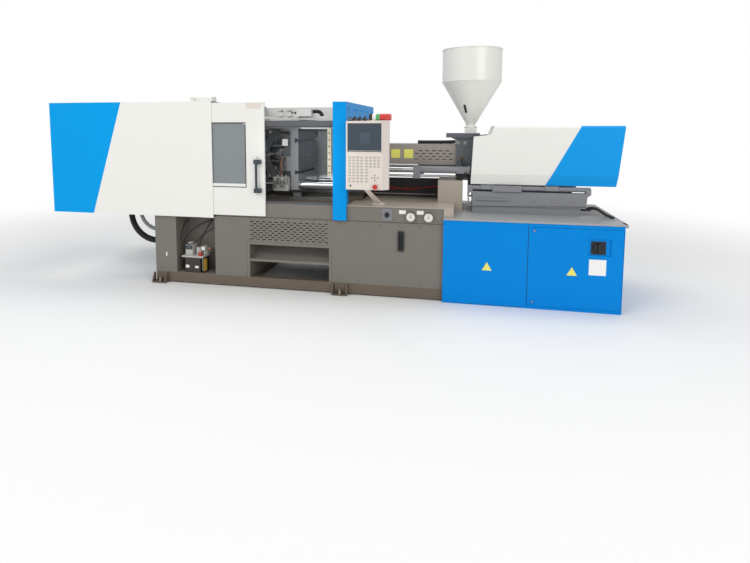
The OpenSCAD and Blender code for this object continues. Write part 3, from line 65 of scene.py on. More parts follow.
# %% [markdown]
# ## How a painted surface is made
# Machine enamel is never one flat colour. It is a little duller where it was wiped, a little darker where
# dust holds, and its surface has a fine orange-peel grain. A flat picture of such paint would slide and
# stretch on another shape. So one noise, as wide as a hand's wipe, drives both roughness and
# tone, and a second one, about a millimetre across, lifts the surface. Both read Object coordinates, which
# stay put on the piece when it moves.

# %% One function for every finish
PATCH_MM = 320.0
PATCH_DETAIL = 4.0
PEEL_METRES = 0.001
COAT_ROUGHNESS = 0.12
SHADER = "Principled BSDF"


def add_node(tree, kind, settings, feeds=()):
    """One shader node with its settings, and the links that feed it."""
    node = tree.nodes.new(kind)
    for key, value in settings.items():
        if isinstance(key, int) or key in node.inputs:
            node.inputs[key].default_value = value
        else:
            setattr(node, key, value)
    for key, source in feeds:
        tree.links.new(source, node.inputs[key])
    return node


def finish_of(name, code, rough, metal=0.0, grain=1.1, bump=0.02, spread=0.05, coat=0.0, tone=0.04,
              shine=0.5):
    """A finish named for the real one. grain is the width of its surface grain in millimetres."""
    finish = bpy.data.materials.new(name)
    finish.use_nodes = True
    tree = finish.node_tree
    shader = tree.nodes[SHADER]
    for key, value in (("Metallic", metal), ("Coat Weight", coat), ("Coat Roughness", COAT_ROUGHNESS),
                       ("Specular IOR Level", shine)):
        shader.inputs[key].default_value = value
    place = add_node(tree, "ShaderNodeTexCoord", {}).outputs["Object"]
    wiped = add_node(tree, "ShaderNodeTexNoise", {"Scale": 1000 / PATCH_MM, "Detail": PATCH_DETAIL},
                     [("Vector", place)]).outputs["Fac"]
    dullness = add_node(tree, "ShaderNodeMapRange",
                        {"To Min": max(0.02, rough - spread), "To Max": min(1.0, rough + spread)},
                        [("Value", wiped)])
    tree.links.new(dullness.outputs["Result"], shader.inputs["Roughness"])
    base = linear(code)
    dusty = tuple(c * (1 - 2 * tone) for c in base[:3]) + (1.0,)
    paint = add_node(tree, "ShaderNodeMix", {"data_type": "RGBA", "A": base, "B": dusty}, [("Factor", wiped)])
    tree.links.new(paint.outputs["Result"], shader.inputs["Base Color"])
    if bump:
        peel = add_node(tree, "ShaderNodeTexNoise", {"Scale": 1000 / grain}, [("Vector", place)])
        lift = add_node(tree, "ShaderNodeBump", {"Strength": bump, "Distance": PEEL_METRES},
                        [("Height", peel.outputs["Fac"])])
        tree.links.new(lift.outputs["Normal"], shader.inputs["Normal"])
    return finish


# %% [markdown]
# ## Two-tone enamel
# The covers at both ends are sprayed in two colours that meet on a slanted line, masked with tape. Cutting
# the cover into two pieces would leave a seam that the real sheet doesn't have, so the line is in the
# finish: where x is larger than slope * z + offset, the second colour shows.

# %% The slanted paint line
def split_finish(name, left, right, slope, offset):
    """An enamel in two colours that meet at x = slope * z + offset, in metres."""
    finish = finish_of(name, left, 0.32, coat=0.03, tone=0.02, shine=0.1)
    tree = finish.node_tree
    where = next(n for n in tree.nodes if n.type == "TEX_COORD")
    first = next(n for n in tree.nodes if n.type == "MIX")
    across = add_node(tree, "ShaderNodeVectorMath", {"operation": "DOT_PRODUCT", 1: (1.0, 0.0, -slope)},
                      [(0, where.outputs["Object"])])
    side = add_node(tree, "ShaderNodeMath", {"operation": "GREATER_THAN", 1: offset},
                    [(0, across.outputs["Value"])])
    pick = add_node(tree, "ShaderNodeMix", {"data_type": "RGBA", "B": linear(right)},
                    [("Factor", side.outputs["Value"]), ("A", first.outputs["Result"])])
    tree.links.new(pick.outputs["Result"], tree.nodes[SHADER].inputs["Base Color"])
    return finish


# %% [markdown]
# ## The finishes
# Each is named for the real material and how its surface was made. The colours were judged against the
# photograph's lit faces, so they are a little lighter than a paint card would be. Enamel gets a thin clear
# coat, castings a coarse grain, and metals a high metallic value with their usual roughness.

# %% Painted sheet and castings
BLUE, CLAMP_BLUE, UNIT_BLUE, IVORY = "#0086DA", "#009FEA", "#149AE6", "#EDECE7"
M = {}
# The bed's skins: a warm dark grey that shows soft, wide highlights
M["bed_grey"] = finish_of("satin dark grey enamel", "#77736B", 0.45, coat=0.1)
# Channels near the floor, browner from oil and dust
M["channel_grey"] = finish_of("satin brown-grey enamel", "#695D50", 0.5)
# The deck under the barrel, a lighter taupe
M["deck_grey"] = finish_of("satin warm grey enamel", "#B1A699", 0.4, coat=0.1)
# The cabinet's flat top, neutral and even
M["deck_pale"] = finish_of("satin light grey enamel", "#A2A4A5", 0.4, coat=0.1)
# Pump housing, pale and slightly rough
M["pump_grey"] = finish_of("light grey enamel", "#B9B8B4", 0.4)
# Cabinet and portal: a strong blue whose highlight stays narrow
M["blue_paint"] = finish_of("semi-gloss blue enamel", BLUE, 0.36, coat=0.03, tone=0.03, shine=0.08)
# The portal has the cabinet's blue paint; this copy is lighter, painted light for its brightly lit faces
M["portal_blue_painted_light"] = finish_of("semi-gloss blue enamel with painted light", "#0098E6", 0.36, coat=0.03, tone=0.03,
                              shine=0.08)
# Doors and boxes: nearly white, slightly warm
M["ivory_paint"] = finish_of("semi-gloss ivory enamel", IVORY, 0.32, coat=0.15, tone=0.015)
# Fittings at the doorway, a shade yellower than the doors
M["cream_paint"] = finish_of("cream enamel", "#EFE6D2", 0.4)
# Carriage rails and base, a cool middle grey
M["frame_grey"] = finish_of("satin mid grey enamel", "#85878C", 0.42, coat=0.1)
# Door rails, almost charcoal
M["dark_frame"] = finish_of("satin charcoal enamel", "#55575A", 0.45)
# Castings: paint over a sand-cast skin, with a coarse grain of about 4 mm
M["cast_grey"] = finish_of("painted casting", "#5C6066", 0.5, grain=3.8, bump=0.12)
# The control panel's fine texture, about 0.7 mm, that kills reflections
M["panel_paint"] = finish_of("fine-textured light grey enamel", "#E4DAD1", 0.48, grain=0.7, bump=0.06)
# The slotted barrel guard
M["guard_steel"] = finish_of("satin taupe enamel", "#9A938A", 0.42, coat=0.1)
# The hopper: off-white, glossier than the doors because it is spun sheet
M["hopper_paint"] = finish_of("semi-gloss off-white enamel", "#EBEAE4", 0.3, coat=0.3, tone=0.02)
# The dark sheet behind the pull-in rods
M["dark_sheet"] = finish_of("matte black sheet", "#2C2A2A", 0.6)
# Clamp covers and unit cover: each line's slope and its x at the floor were read off the photograph
M["clamp_paint"] = split_finish("blue and ivory clamp enamel", CLAMP_BLUE, IVORY, 0.31848, -2.35983)
M["unit_paint"] = split_finish("ivory and blue unit enamel", IVORY, UNIT_BLUE, 0.53125, 1.47947)
print(len(M), "painted finishes")

# %% Metals
# Milled iron that still shows its cutter marks as a fine grain of 2 mm
M["machined"] = finish_of("machined cast iron", "#9A9C9E", 0.34, metal=0.9, grain=2.0, bump=0.05)
# Tie bars and pull-in rods: ground and chromed, close to a mirror
M["chromed_steel"] = finish_of("hard chrome", "#D7D9DC", 0.12, metal=1.0, spread=0.03, bump=0.0)
# Links, screw and pins: turned or milled steel with a soft sheen
M["link_steel"] = finish_of("machined steel", "#A6A8AB", 0.3, metal=1.0, bump=0.03)
# The electric mounting plate
M["zinc_plate"] = finish_of("zinc-plated sheet", "#C7C8C6", 0.35, metal=1.0, bump=0.02)
# Screws, nuts and washers
M["zinc_screw"] = finish_of("zinc-plated fittings", "#A9A79E", 0.3, metal=1.0, bump=0.0)
# Tap bodies and collars are turned, so they shine along one line
M["brass"] = finish_of("turned brass", "#C9A45A", 0.25, metal=1.0, bump=0.0)
# Thin pipes, a little duller than the brass
M["copper"] = finish_of("drawn copper", "#B8734C", 0.3, metal=1.0, bump=0.0)

# %% Plastics, rubber and glass
# Hoses and cables: rubber with a grain of 3 mm that scatters the light
M["black_rubber"] = finish_of("matte hose rubber", "#202022", 0.6, grain=3.3, bump=0.1)
# The drain hose, of the same rubber in light grey
M["pale_rubber"] = finish_of("matte light hose rubber", "#A9AAA8", 0.6, grain=3.3, bump=0.1)
# Thin wires over the purge tray and the pump's red fitting
M["red_rubber"] = finish_of("red cable sheath", "#B9382C", 0.5, bump=0.0)
# Knobs and caps, with the faint texture of a mould
M["black_plastic"] = finish_of("moulded black plastic", "#1C1D20", 0.42, bump=0.03)
M["slate_plastic"] = finish_of("moulded slate plastic", "#38424C", 0.4, bump=0.03)
# The stop button and the dials' pointers: smooth and glossy
M["red_plastic"] = finish_of("moulded red plastic", "#C93328", 0.28, bump=0.0, coat=0.3)
# The oil tank: smoked and glossy, nearly black, so that the oil in it hardly shows
M["tank_brown"] = finish_of("smoked tank plastic", "#2C231C", 0.25, bump=0.0, coat=0.2)
# The plate beside the tank: a warmer yellow than the plates on the machine
M["amber_plate"] = finish_of("amber lacquered plate", "#E0B444", 0.4, bump=0.0)
# Flat plates and printed discs, even and without grain
M["yellow_plate"] = finish_of("yellow lacquered plate", "#F0EA70", 0.4, bump=0.0)
M["white_plate"] = finish_of("white lacquered plate", "#F4F3F0", 0.4, bump=0.0)
M["dial_white"] = finish_of("printed dial", "#E2DFD8", 0.35, bump=0.0)
# The screen: dark glass with a clear coat, and a field that is only just brighter
M["screen"] = finish_of("dark display glass", "#36424F", 0.1, bump=0.0, coat=0.6, tone=0.02)
M["lit"] = finish_of("faint display field", "#46545F", 0.2, bump=0.0)
# Membrane keys hardly differ from the panel; the printed marks on them do
M["key_grey"] = finish_of("membrane keys", "#D0C8C2", 0.5, bump=0.0)
M["key_mark"] = finish_of("printed key marks", "#6A6E78", 0.5, bump=0.0)
# The beacon's lenses: clear plastic so smooth that each shows a sharp highlight
M["lamp_green"] = finish_of("green lens", "#4FAF6A", 0.15, bump=0.0, coat=0.5)
M["lamp_white"] = finish_of("clear lens", "#EDEFEF", 0.15, bump=0.0, coat=0.5)
M["lamp_red"] = finish_of("red lens", "#D23B30", 0.15, bump=0.0, coat=0.5)
# The shade inside an opening or a joint
M["dark_gap"] = finish_of("unlit inside", "#2A2A2B", 0.8, bump=0.0)
# The windows let through only a hint of what is behind them
M["window_glass"] = finish_of("tinted safety window", "#9FA6A9", 0.12, bump=0.0, tone=0.03)
pane = M["window_glass"].node_tree.nodes[SHADER]
pane.inputs["Transmission Weight"].default_value = 0.2
pane.inputs["Alpha"].default_value = 0.86
print(len(M), "finishes in all")

# %% [markdown]
# ## Dressing the CAD pieces
# Folded sheet has a bend radius and a casting has rounded corners, and both catch a thin line of light in
# the photograph. A bevel modifier gives them that without changing the CAD mesh itself. Thin slotted sheet
# gets none, because there the radius would eat the slots.

# %% Finish and edge radius of each node
SHARP_DEG, JOINED_SHARP_DEG = 35, 40
dressed = set()


def edge_radius(o, radius, angle):
    """A bevel of this radius in millimetres along every edge sharper than the angle in degrees."""
    edge = o.modifiers.new("edge radius", "BEVEL")
    edge.width = radius / 1000
    edge.segments = 2
    edge.limit_method = "ANGLE"
    edge.angle_limit = math.radians(angle)
    return edge


def dress(look, radius, *names):
    """Gives each named CAD node its finish, and its sharp edges a radius in millimetres."""
    for name in names:
        o = nodes[name]
        o.data.materials.clear()
        o.data.materials.append(M[look])
        if radius:
            edge_radius(o, radius, SHARP_DEG).harden_normals = True
        dressed.add(name)


dress("channel_grey", 3, "bed_frame")
dress("channel_grey", 1, "anchor_brackets")
dress("bed_grey", 1, "bed_panels", "gauge_strip", "discharge_chute")
dress("deck_grey", 1.5, "bed_deck")
dress("deck_pale", 1.5, "cabinet_deck")
dress("black_plastic", 1, "gauges", "selector_knob", "isolator_knob")
dress("pump_grey", 2, "lube_pump")
dress("tank_brown", 3, "lube_tank")
dress("black_rubber", 0, "clamp_hose")
dress("pale_rubber", 0, "drain_hose")
# The portal takes the lightened copy of the blue: painted light
dress("portal_blue_painted_light", 2, "portal_guard")
dress("blue_paint", 2, "cabinet_shell", "cabinet_door")
dress("blue_paint", 0, "end_guard")
dress("clamp_paint", 1.2, "clamp_covers")
dress("unit_paint", 3, "injection_cover")
dress("ivory_paint", 1.5, "front_door", "rear_door", "switch_box")
dress("dark_frame", 1, "door_rails", "cover_frame")
dress("cast_grey", 3, "fixed_platen", "rear_platen", "clamp_cylinder", "throat_block", "hopper_slide",
      "thrust_plate", "crosshead", "ejector_cylinder", "injection_cylinders")
dress("machined", 2, "moving_platen", "tie_bar_nuts")
dress("chromed_steel", 1, "tie_bars", "pull_rods")
dress("link_steel", 2, "upper_rear_link", "lower_rear_link", "upper_front_link", "lower_front_link",
      "upper_cross_link", "lower_cross_link")
dress("link_steel", 1, "ejector_plate", "barrel")
dress("link_steel", 0, "screw")
dress("frame_grey", 1, "carriage_rails", "carriage_base", "pull_cylinders")
dress("zinc_plate", 0, "electric_plate")
dress("panel_paint", 1, "panel_bracket", "control_panel")
dress("window_glass", 0, "front_window", "rear_window")
dress("slate_plastic", 3, "front_handle")
dress("guard_steel", 0, "barrel_guard")
dress("hopper_paint", 0, "hopper", "hopper_lid")
dress("red_plastic", 2, "stop_button")
print(len(dressed), "nodes dressed; left bare:", sorted(set(nodes) - dressed))


# %% A second finish on chosen faces
def second_finish(name, look, chosen):
    """Where one CAD node holds pieces of two materials, the faces whose middle is chosen get the second."""
    o = nodes[name]
    o.data.materials.append(M[look])
    count = 0
    for face in o.data.polygons:
        if chosen(face.center):
            face.material_index = len(o.data.materials) - 1
            count += 1
    print(count, "faces of", name, "in", look)


# The switch box holds the conduit, the gauge strip the selector's plate, the bed frame the platens' wear
# strips, and the deck the purge screen. Their places are in metres.
second_finish("switch_box", "black_rubber", lambda c: c.x > -0.1648 and c.z > 1.5712)
second_finish("gauge_strip", "frame_grey", lambda c: c.y < -0.6285 and abs(c.x - 0.686) < 0.045)
second_finish("bed_frame", "machined",
              lambda c: 0.17 < abs(c.y - MID / 1000) < 0.3 and 0.7795 < c.z < 0.801 and c.x < 0.3)
second_finish("bed_deck", "dark_sheet", lambda c: 0.1 < c.y < 0.11 and c.z > 0.7912 and c.x < 1.0885)

# %% [markdown]
# ## Tools for the small pieces
# Each tool adds a primitive at its size and place, as by hand, and shapes it: a face is inset and moved to
# give a chamfer, a socket or a sunk panel. What repeats is made once and copied. A group of pieces is then
# joined, its edges are bevelled, and it rides on the CAD body that carries it.

# %% Selecting and finishing
FACING = 0.9  # a face counts as looking along a direction above this cosine


def alone():
    """Leaves edit mode and clears the selection, so that the next tool meets only its own piece."""
    if bpy.context.object and bpy.context.object.mode != "OBJECT":
        bpy.ops.object.mode_set(mode="OBJECT")
    bpy.ops.object.select_all(action="DESELECT")


def made(look, smooth=False):
    """Fixes the new primitive's place in its mesh and gives it its finish."""
    o = bpy.context.object
    bpy.ops.object.transform_apply(location=True, rotation=True, scale=True)
    o.data.materials.clear()
    o.data.materials.append(M[look])
    if smooth:
        bpy.ops.object.shade_smooth_by_angle(angle=math.radians(SHARP_DEG))
    return o


def stepped(o, toward, inset, rise):
    """Insets the faces that look along toward and moves them by rise: a chamfer, or a socket if negative."""
    alone()
    o.select_set(True)
    bpy.context.view_layer.objects.active = o
    bpy.ops.object.mode_set(mode="EDIT")
    bpy.ops.mesh.select_mode(type="FACE")
    bpy.ops.mesh.select_all(action="DESELECT")
    bpy.ops.object.mode_set(mode="OBJECT")
    for face in o.data.polygons:
        face.select = face.normal.dot(toward) > FACING
    bpy.ops.object.mode_set(mode="EDIT")
    bpy.ops.mesh.inset(thickness=inset / 1000)
    bpy.ops.transform.translate(value=tuple(c * rise / 1000 for c in toward))
    bpy.ops.object.mode_set(mode="OBJECT")
    return o


# %% Plates, round pieces and rings
TURN = {"x": (0, math.pi / 2, 0), "y": (math.pi / 2, 0, 0), "z": (0, 0, 0)}
FLAT_SIDES = 12
PATH_POINTS = 5  # Blender's new path has this many


def slab(x0, x1, y0, y1, z0, z1, look):
    """A box between two planes of each axis."""
    alone()
    bpy.ops.mesh.primitive_cube_add(size=1, location=at((x0 + x1) / 2, (y0 + y1) / 2, (z0 + z1) / 2))
    bpy.context.object.scale = (abs(x1 - x0) / 1000, abs(y1 - y0) / 1000, abs(z1 - z0) / 1000)
    return made(look)


def rod(axis, x, y, z, length, d, look, sides=32):
    """A round piece that starts at x, y, z and runs length along its axis, forwards or backwards.
    With FLAT_SIDES or fewer it keeps its flats."""
    mid = at(x, y, z) + AXIS[axis] * (length / 2000)
    alone()
    bpy.ops.mesh.primitive_cylinder_add(vertices=sides, radius=d / 2000, depth=abs(length) / 1000,
                                        location=mid, rotation=TURN[axis])
    return made(look, smooth=sides > FLAT_SIDES)


def hoop(axis, x, y, z, d, thick, look, steps=48, around=10):
    """A ring of diameter d about the axis, bent from a wire this thick."""
    alone()
    bpy.ops.mesh.primitive_torus_add(major_radius=d / 2000, minor_radius=thick / 2000, major_segments=steps,
                                     minor_segments=around, location=at(x, y, z), rotation=TURN[axis])
    return made(look, smooth=True)


def rib(x, y, z, tilt, d, thick, look):
    """One ring of a corrugated hose where it bends, tilted about Y."""
    ring = hoop("x", 0, 0, 0, d, thick, look, steps=24, around=6)
    ring.location = at(x, y, z) - at(0, 0, 0)
    ring.rotation_euler = (0, tilt, 0)
    return made(look, smooth=True)


def lead(points, d, look, around=6):
    """A round cable or pipe through these points, rounded between them and held at both ends."""
    alone()
    bpy.ops.curve.primitive_nurbs_path_add(location=(0, 0, 0))
    o = bpy.context.object
    line = o.data.splines[0]
    if len(points) > PATH_POINTS:
        line.points.add(len(points) - PATH_POINTS)
    full = list(points) + [points[-1]] * (PATH_POINTS - len(points))
    for p, q in zip(line.points, full):
        p.co = (*at(*q), 1.0)
    line.order_u = 3
    line.use_endpoint_u = True
    line.resolution_u = 8
    o.data.bevel_depth = d / 2000
    o.data.bevel_resolution = around // 2
    o.data.use_fill_caps = True
    bpy.ops.object.convert(target="MESH")
    return made(look, smooth=True)


# %% Screws, cut-outs and copies
def bolt(axis, sign, x, y, z, d, look="zinc_screw"):
    """A hexagon head with a chamfered top on its washer, standing out of a face along sign * axis.
    Its measures follow from the thread's diameter d."""
    head = rod(axis, x, y, z, sign * d * 0.7, d * 1.7, look, sides=6)
    stepped(head, AXIS[axis] * sign, d * 0.16, d * 0.1)
    washer = rod(axis, x, y, z, sign * d * 0.2, d * 2.2, look, sides=20)
    return [head, washer]


def cap_screw(axis, sign, x, y, z, d, look):
    """A round head with a sunk socket."""
    head = rod(axis, x, y, z, sign * d * 0.8, d * 1.6, look, sides=16)
    return [stepped(head, AXIS[axis] * sign, d * 0.34, -d * 0.5)]


def cut(body, tool):
    """Takes the tool's shape out of the body."""
    alone()
    bpy.context.view_layer.objects.active = body
    away = body.modifiers.new("cut", "BOOLEAN")
    away.operation = "DIFFERENCE"
    away.object = tool
    bpy.ops.object.modifier_apply(modifier=away.name)
    bpy.data.objects.remove(tool)
    return body


def flat(parts):
    """The pieces of nested lists as one plain list."""
    out = []
    for p in parts:
        out.extend(flat(p) if isinstance(p, (list, tuple)) else [p])
    return out


def copies(parts, shifts):
    """The parts themselves and a copy of them at each shift in millimetres, every copy with its own mesh."""
    first = flat(parts)
    out = list(first)
    for shift in shifts:
        for p in first:
            q = p.copy()
            q.data = p.data.copy()
            q.data.transform(Matrix.Translation(Vector(shift) / 1000))
            bpy.context.scene.collection.objects.link(q)
            out.append(q)
    return out


def group(name, body, parts, radius=0.0):
    """Joins the parts, bevels their edges by radius in millimetres, and lets them ride on the body."""
    parts = flat(parts)
    alone()
    for p in parts:
        p.select_set(True)
    bpy.context.view_layer.objects.active = parts[0]
    if len(parts) > 1:
        bpy.ops.object.join()
    o = bpy.context.object
    o.name = name
    if radius:
        edge = edge_radius(o, radius, JOINED_SHARP_DEG)
        bpy.ops.object.modifier_apply(modifier=edge.name)
    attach(o, body)
    print(name, len(o.data.polygons), "faces on", body)


# %% [markdown]
# ## Control panel
# A dark screen in a raised rim, over a field of membrane keys. The keys have nearly the panel's colour, so
# the printed marks carry the pattern. A beacon lies along the top, and three leads leave from plugs.

# %% Screen and rim
front = -800
rim_w = 7
glass = stepped(slab(368, 653, front + 0.2, front + 2.8, 1261, 1496, "screen"), FORWARD, 4, -1)
group("screen_glass", "control_panel", [glass])
fields = [slab(470, 560, front - 0.2, front + 1.6, 1330, 1420, "lit"),
          slab(376, 646, front - 0.2, front + 1.6, 1268, 1271, "key_grey")]
group("screen_fields", "control_panel", fields)
rim = [slab(362, 660, front - 3, front, z, z + rim_w, "panel_paint") for z in (1254, 1496)]
rim += [slab(x, x + rim_w, front - 3, front, 1254, 1503, "panel_paint") for x in (361, 653)]
group("screen_rim", "control_panel", rim, 1)

# %% Membrane keys, each a chamfered plate with a printed mark, copied over the field
rows, columns, step_x, step_z, parting = 9, 8, 34, 25, 6
key = [stepped(slab(374, 400, front - 1, front, 1205, 1222, "key_grey"), FORWARD, 0.8, -0.4),
       slab(382, 392, front - 1.6, front - 1.2, 1211, 1216, "key_mark")]
# A gap parts the keys after the fourth column, and the arrow marks take the lower right corner
places = [(c * step_x + (parting if c > 3 else 0), 0, -r * step_z)
          for r in range(rows) for c in range(columns) if r + c and not (r > 3 and c > 4)]
keys = copies(key, places)
dot = rod("y", 598, front, 1046, -1.8, 11, "key_mark", sides=16)
keys += copies([dot], [(26, 0, 0), (-26, 0, 0), (0, 0, 20), (0, 0, -20)])
group("membrane_keys", "control_panel", keys)
lower = [hoop("y", 605, front - 0.5, 972, 46, 3, "panel_paint"),
         rod("y", 394, front, 978, -5, 14, "black_plastic")]
group("panel_buttons", "control_panel", lower, 0.6)

# %% Beacon and leads
lens_d = 57
beacon = [rod("x", x, -760, 1546, length, d, look) for x, length, d, look in
          ((545, 27, lens_d, "black_plastic"), (572, 30, lens_d, "lamp_white"),
           (602, 31, lens_d, "lamp_green"), (633, 88, lens_d, "lamp_red"), (721, 6, lens_d - 6, "lamp_red"))]
group("beacon_lenses", "control_panel", beacon, 1)
plug = [stepped(rod("z", 415, -754, 1515, 22, 34, "black_plastic", sides=6), AXIS["z"], 5, 3),
        lead([(415, -754, 1536), (415, -750, 1548), (417, -728, 1549), (420, -712, 1500), (424, -713, 1400)],
             13, "black_rubber")]
group("panel_leads", "control_panel", copies(plug, [(44, 0, 0), (88, 0, 0)]))

# %% [markdown]
# ## Bed, gauges and cabinet
# The dials are printed discs behind a bright ring. Sheet screws have the colour of the sheet and show
# only by their sockets. The plates are plain lacquered sheet, a millimetre thick.

# %% Two dials and their name plates
skin = -668
dial_x, dial_z = 888, 712
dial = [rod("y", dial_x, skin - 31, dial_z, -2, 70, "dial_white"),
        hoop("y", dial_x, skin - 32, dial_z, 76, 5, "zinc_screw"),
        slab(dial_x - 1, dial_x + 1, skin - 34.5, skin - 33, dial_z, dial_z + 26, "red_plastic"),
        rod("y", dial_x, skin - 33, dial_z, -3, 10, "black_plastic"),
        slab(788, 845, skin - 4.5, skin - 3, 733, 764, "white_plate")]
group("bed_dials", "machine_bed", copies(dial, [(149, 0, 0)]), 0.4)

# %% Screws of the bed's skins: two rows beside the openings, around the vent panel and along the lip
first_x, first_z = -1480, 130
screw = cap_screw("y", -1, first_x, skin, first_z, 6, "bed_grey")
shifts = [(x - first_x, 0, z) for x in range(first_x, 1150, 175) for z in (0, 500)
          if (x > first_x or z) and not (-620 < x < 230 or -1310 < x < -900)]
shifts += [(x - first_x, 0, z - first_z) for x in range(-560, 190, 120) for z in (441, 643)]
shifts += [(x - first_x, -3, 546) for x in range(360, 1140, 190)]
group("skin_screws", "machine_bed", copies(screw, shifts))

# %% Anchor bolts: washer, nut and the thread that stands out of it
foot = 10
for k, x in enumerate((-1468.5, 276.5)):
    for side in (-1, 1):
        y = side * 697
        nut = stepped(rod("z", x, y, foot, 24, 30, "zinc_screw", sides=6), AXIS["z"], 3, 2)
        anchor = [rod("z", x, y, foot, 10, 40, "zinc_screw"), nut, rod("z", x, y, foot, 44, 18, "zinc_screw")]
        group(f"anchor_{k}_{side}", "machine_bed", anchor, 0.6)

# %% Cabinet door: quarter-turn locks, the isolator's dark escutcheon and plain plates
face = -700
lock_x, lock_z = 1875, 641
lock = [rod("y", lock_x, face - 6, lock_z, -3, 17, "zinc_screw"),
        slab(lock_x - 4, lock_x + 4, face - 9.6, face - 9, lock_z - 1, lock_z + 1, "dark_gap")]
group("cabinet_locks", "cabinet_door", copies(lock, [(0, 0, -581)]), 0.4)
knob_x, knob_z = 2354, 522
plate_thick, plate_d = 1.2, 91
plate = [cut(slab(knob_x - 55, knob_x + 55, face + 6.5, face + 9, knob_z - 52, knob_z + 52, "black_plastic"),
             rod("y", knob_x, face + 3, knob_z, 9, 78, "black_plastic"))]
plate += [slab(2290, 2415, face - 1, face, 304, 430, "white_plate"),
          rod("y", 2166, face, 315, -plate_thick, plate_d, "yellow_plate", sides=3)]
group("isolator_frame", "cabinet_door", plate, 0.4)
seams = [slab(1164, 1800, face - 0.8, face + 0.2, 8, 10, "dark_gap"),
         slab(1829, 1831, face - 0.6, face + 0.6, 20, 690, "dark_gap"),
         rod("y", 1515, face, 318, -plate_thick, plate_d, "yellow_plate", sides=3)]
group("cabinet_trim", "machine_bed", seams)

# %% [markdown]
# ## Lubrication recess and hoses
# The pump draws from the smoked tank through a small strainer. Its leads run up behind the skin. The two
# hoses are corrugated: one ring is repeated along each straight run and around each bend.

# %% Pump fittings and leads
pane_y = -641.5
parts = [slab(-1215, -1180, -666.5, -665, 150, 176, "white_plate"),
         slab(-1120, -1085, -666.5, -665, 150, 170, "white_plate"),
         slab(-1416, -1404, skin - 1, skin, 250, 290, "white_plate"),
         rod("y", -1048, -630, 334, -6, 44, "zinc_screw"), rod("y", -1048, -636, 334, -1.5, 38, "dial_white"),
         rod("z", -1076, -640, 264, 28, 40, "red_rubber"),
         slab(-1224, -1158, pane_y, -640, 318, 356, "black_plastic"),
         slab(-1214, -1168, pane_y - 0.7, pane_y, 324, 350, "screen"),
         rod("z", -1190, -600, 362, 18, 60, "pump_grey"),
         rod("x", -1226, -600, 320, -22, 26, "black_plastic"),
         slab(-1039, -1038, -665, -542, 92, 249, "black_plastic"),
         slab(-1038, -1037, -655, -590, 118, 232, "amber_plate")]
for d, look, way in (
        (10, "black_rubber", ((-1242, -600, 322), (-1258, -600, 365), (-1252, -600, 415), (-1199, -580, 484),
                              (-1127, -540, 543), (-1042, -480, 579), (-1036, -462, 580))),
        (10, "black_rubber", ((-1284, -462, 566), (-1284, -540, 552), (-1280, -606, 470), (-1280, -630, 389),
                              (-1214, -644, 362), (-1136, -636, 372), (-1079, -580, 447), (-1047, -520, 522),
                              (-1032, -480, 572), (-1026, -462, 580))),
        (8, "copper", ((-1056, -600, 314), (-1010, -600, 330), (-960, -560, 300), (-950, -500, 260),
                       (-940, -462, 240))),
        (8, "black_rubber", ((-1108, -590, 334), (-1104, -590, 400), (-1060, -560, 470), (-1010, -500, 500),
                             (-1000, -462, 505)))):
    parts.append(lead(way, d, look))
group("lube_leads", "machine_bed", parts)

# %% Ribs of the two hoses: place and diameter of the hose, its bend, the ribs' pitch and their rubber
hose_top = 680
wire = 0.62  # thickness of a rib, as a share of the pitch
rings = []
for x, y, z, d, bend, pitch, look in ((-1928, -430, 343, 54, 270, 9, "black_rubber"),
                                      (-1824, -430, 455, 34, 190, 7, "pale_rubber")):
    start = z + bend + 10
    ring = hoop("z", x, y, start, d, pitch * wire, look, steps=24, around=6)
    rings += copies([ring], [(0, 0, pitch * k) for k in range(1, int((hose_top - start) / pitch) + 1)])
    turns = int(bend * math.pi / 2 / pitch)
    for k in range(1, turns):
        a = math.pi / 2 * k / turns
        rings.append(rib(x + bend - bend * math.sin(a), y, z + bend - bend * math.cos(a), a,
                         d, pitch * wire, look))
group("hose_ribs", "machine_bed", rings)

# %% [markdown]
# ## Clamp
# Through the open doorway the platen's bolts, the valve block with its solenoids and the hoses are seen
# first. The toggle's pins end in bolted caps, which ride on the links.

# %% Bolts and pin caps of the moving platen
axis_z = 1190
# From the axis: the tie bars in y and z, the links' pins in z and the links' outer faces in y
bar, pin_z, link_y = 275, 288, 205
parts = []
for y in (-301, 301):
    parts += copies(bolt("x", 1, -200, y, axis_z + 215, 14), [(0, 0, 105), (0, 0, -430), (0, 0, -535)])
hole = rod("x", -200, -150, axis_z + 255, 0.6, 18, "dark_gap", sides=20)
parts += copies([hole], [(0, 150 * k, z) for k in range(3) for z in (0, -160, -350, -510) if k or z])
group("platen_bolts", "moving_platen", parts, 0.5)
parts = []
for side in (1, -1):
    cap = [rod("y", -440, side * link_y, axis_z + pin_z, side * 8, 60, "link_steel"),
           bolt("y", side, -440, side * (link_y + 8), axis_z + pin_z, 10)]
    parts += copies(cap, [(0, 0, -2 * pin_z)])
    wiper = [hoop("x", -385, side * bar, axis_z + bar, 98, 10, "brass"),
             bolt("x", -1, -385, side * (bar + 55), axis_z + bar, 8),
             bolt("x", -1, -385, side * (bar - 55), axis_z + bar, 8)]
    parts += copies(wiper, [(0, 0, -2 * bar)])
group("platen_pin_caps", "moving_platen", parts, 0.6)

# %% Caps on the two pins of each rear link
pin_x, next_x, next_z = -792.67, 176.33, -242.7
for body, sgn in (("upper_rear_link", 1), ("lower_rear_link", -1)):
    parts = []
    for side in (1, -1):
        cap = [rod("y", pin_x, side * link_y, axis_z + sgn * pin_z, side * 7, 58, "link_steel"),
               bolt("y", side, pin_x, side * (link_y + 7), axis_z + sgn * pin_z, 9)]
        parts += copies(cap, [(next_x, 0, sgn * next_z)])
    group(body + "_caps", body, parts, 0.6)

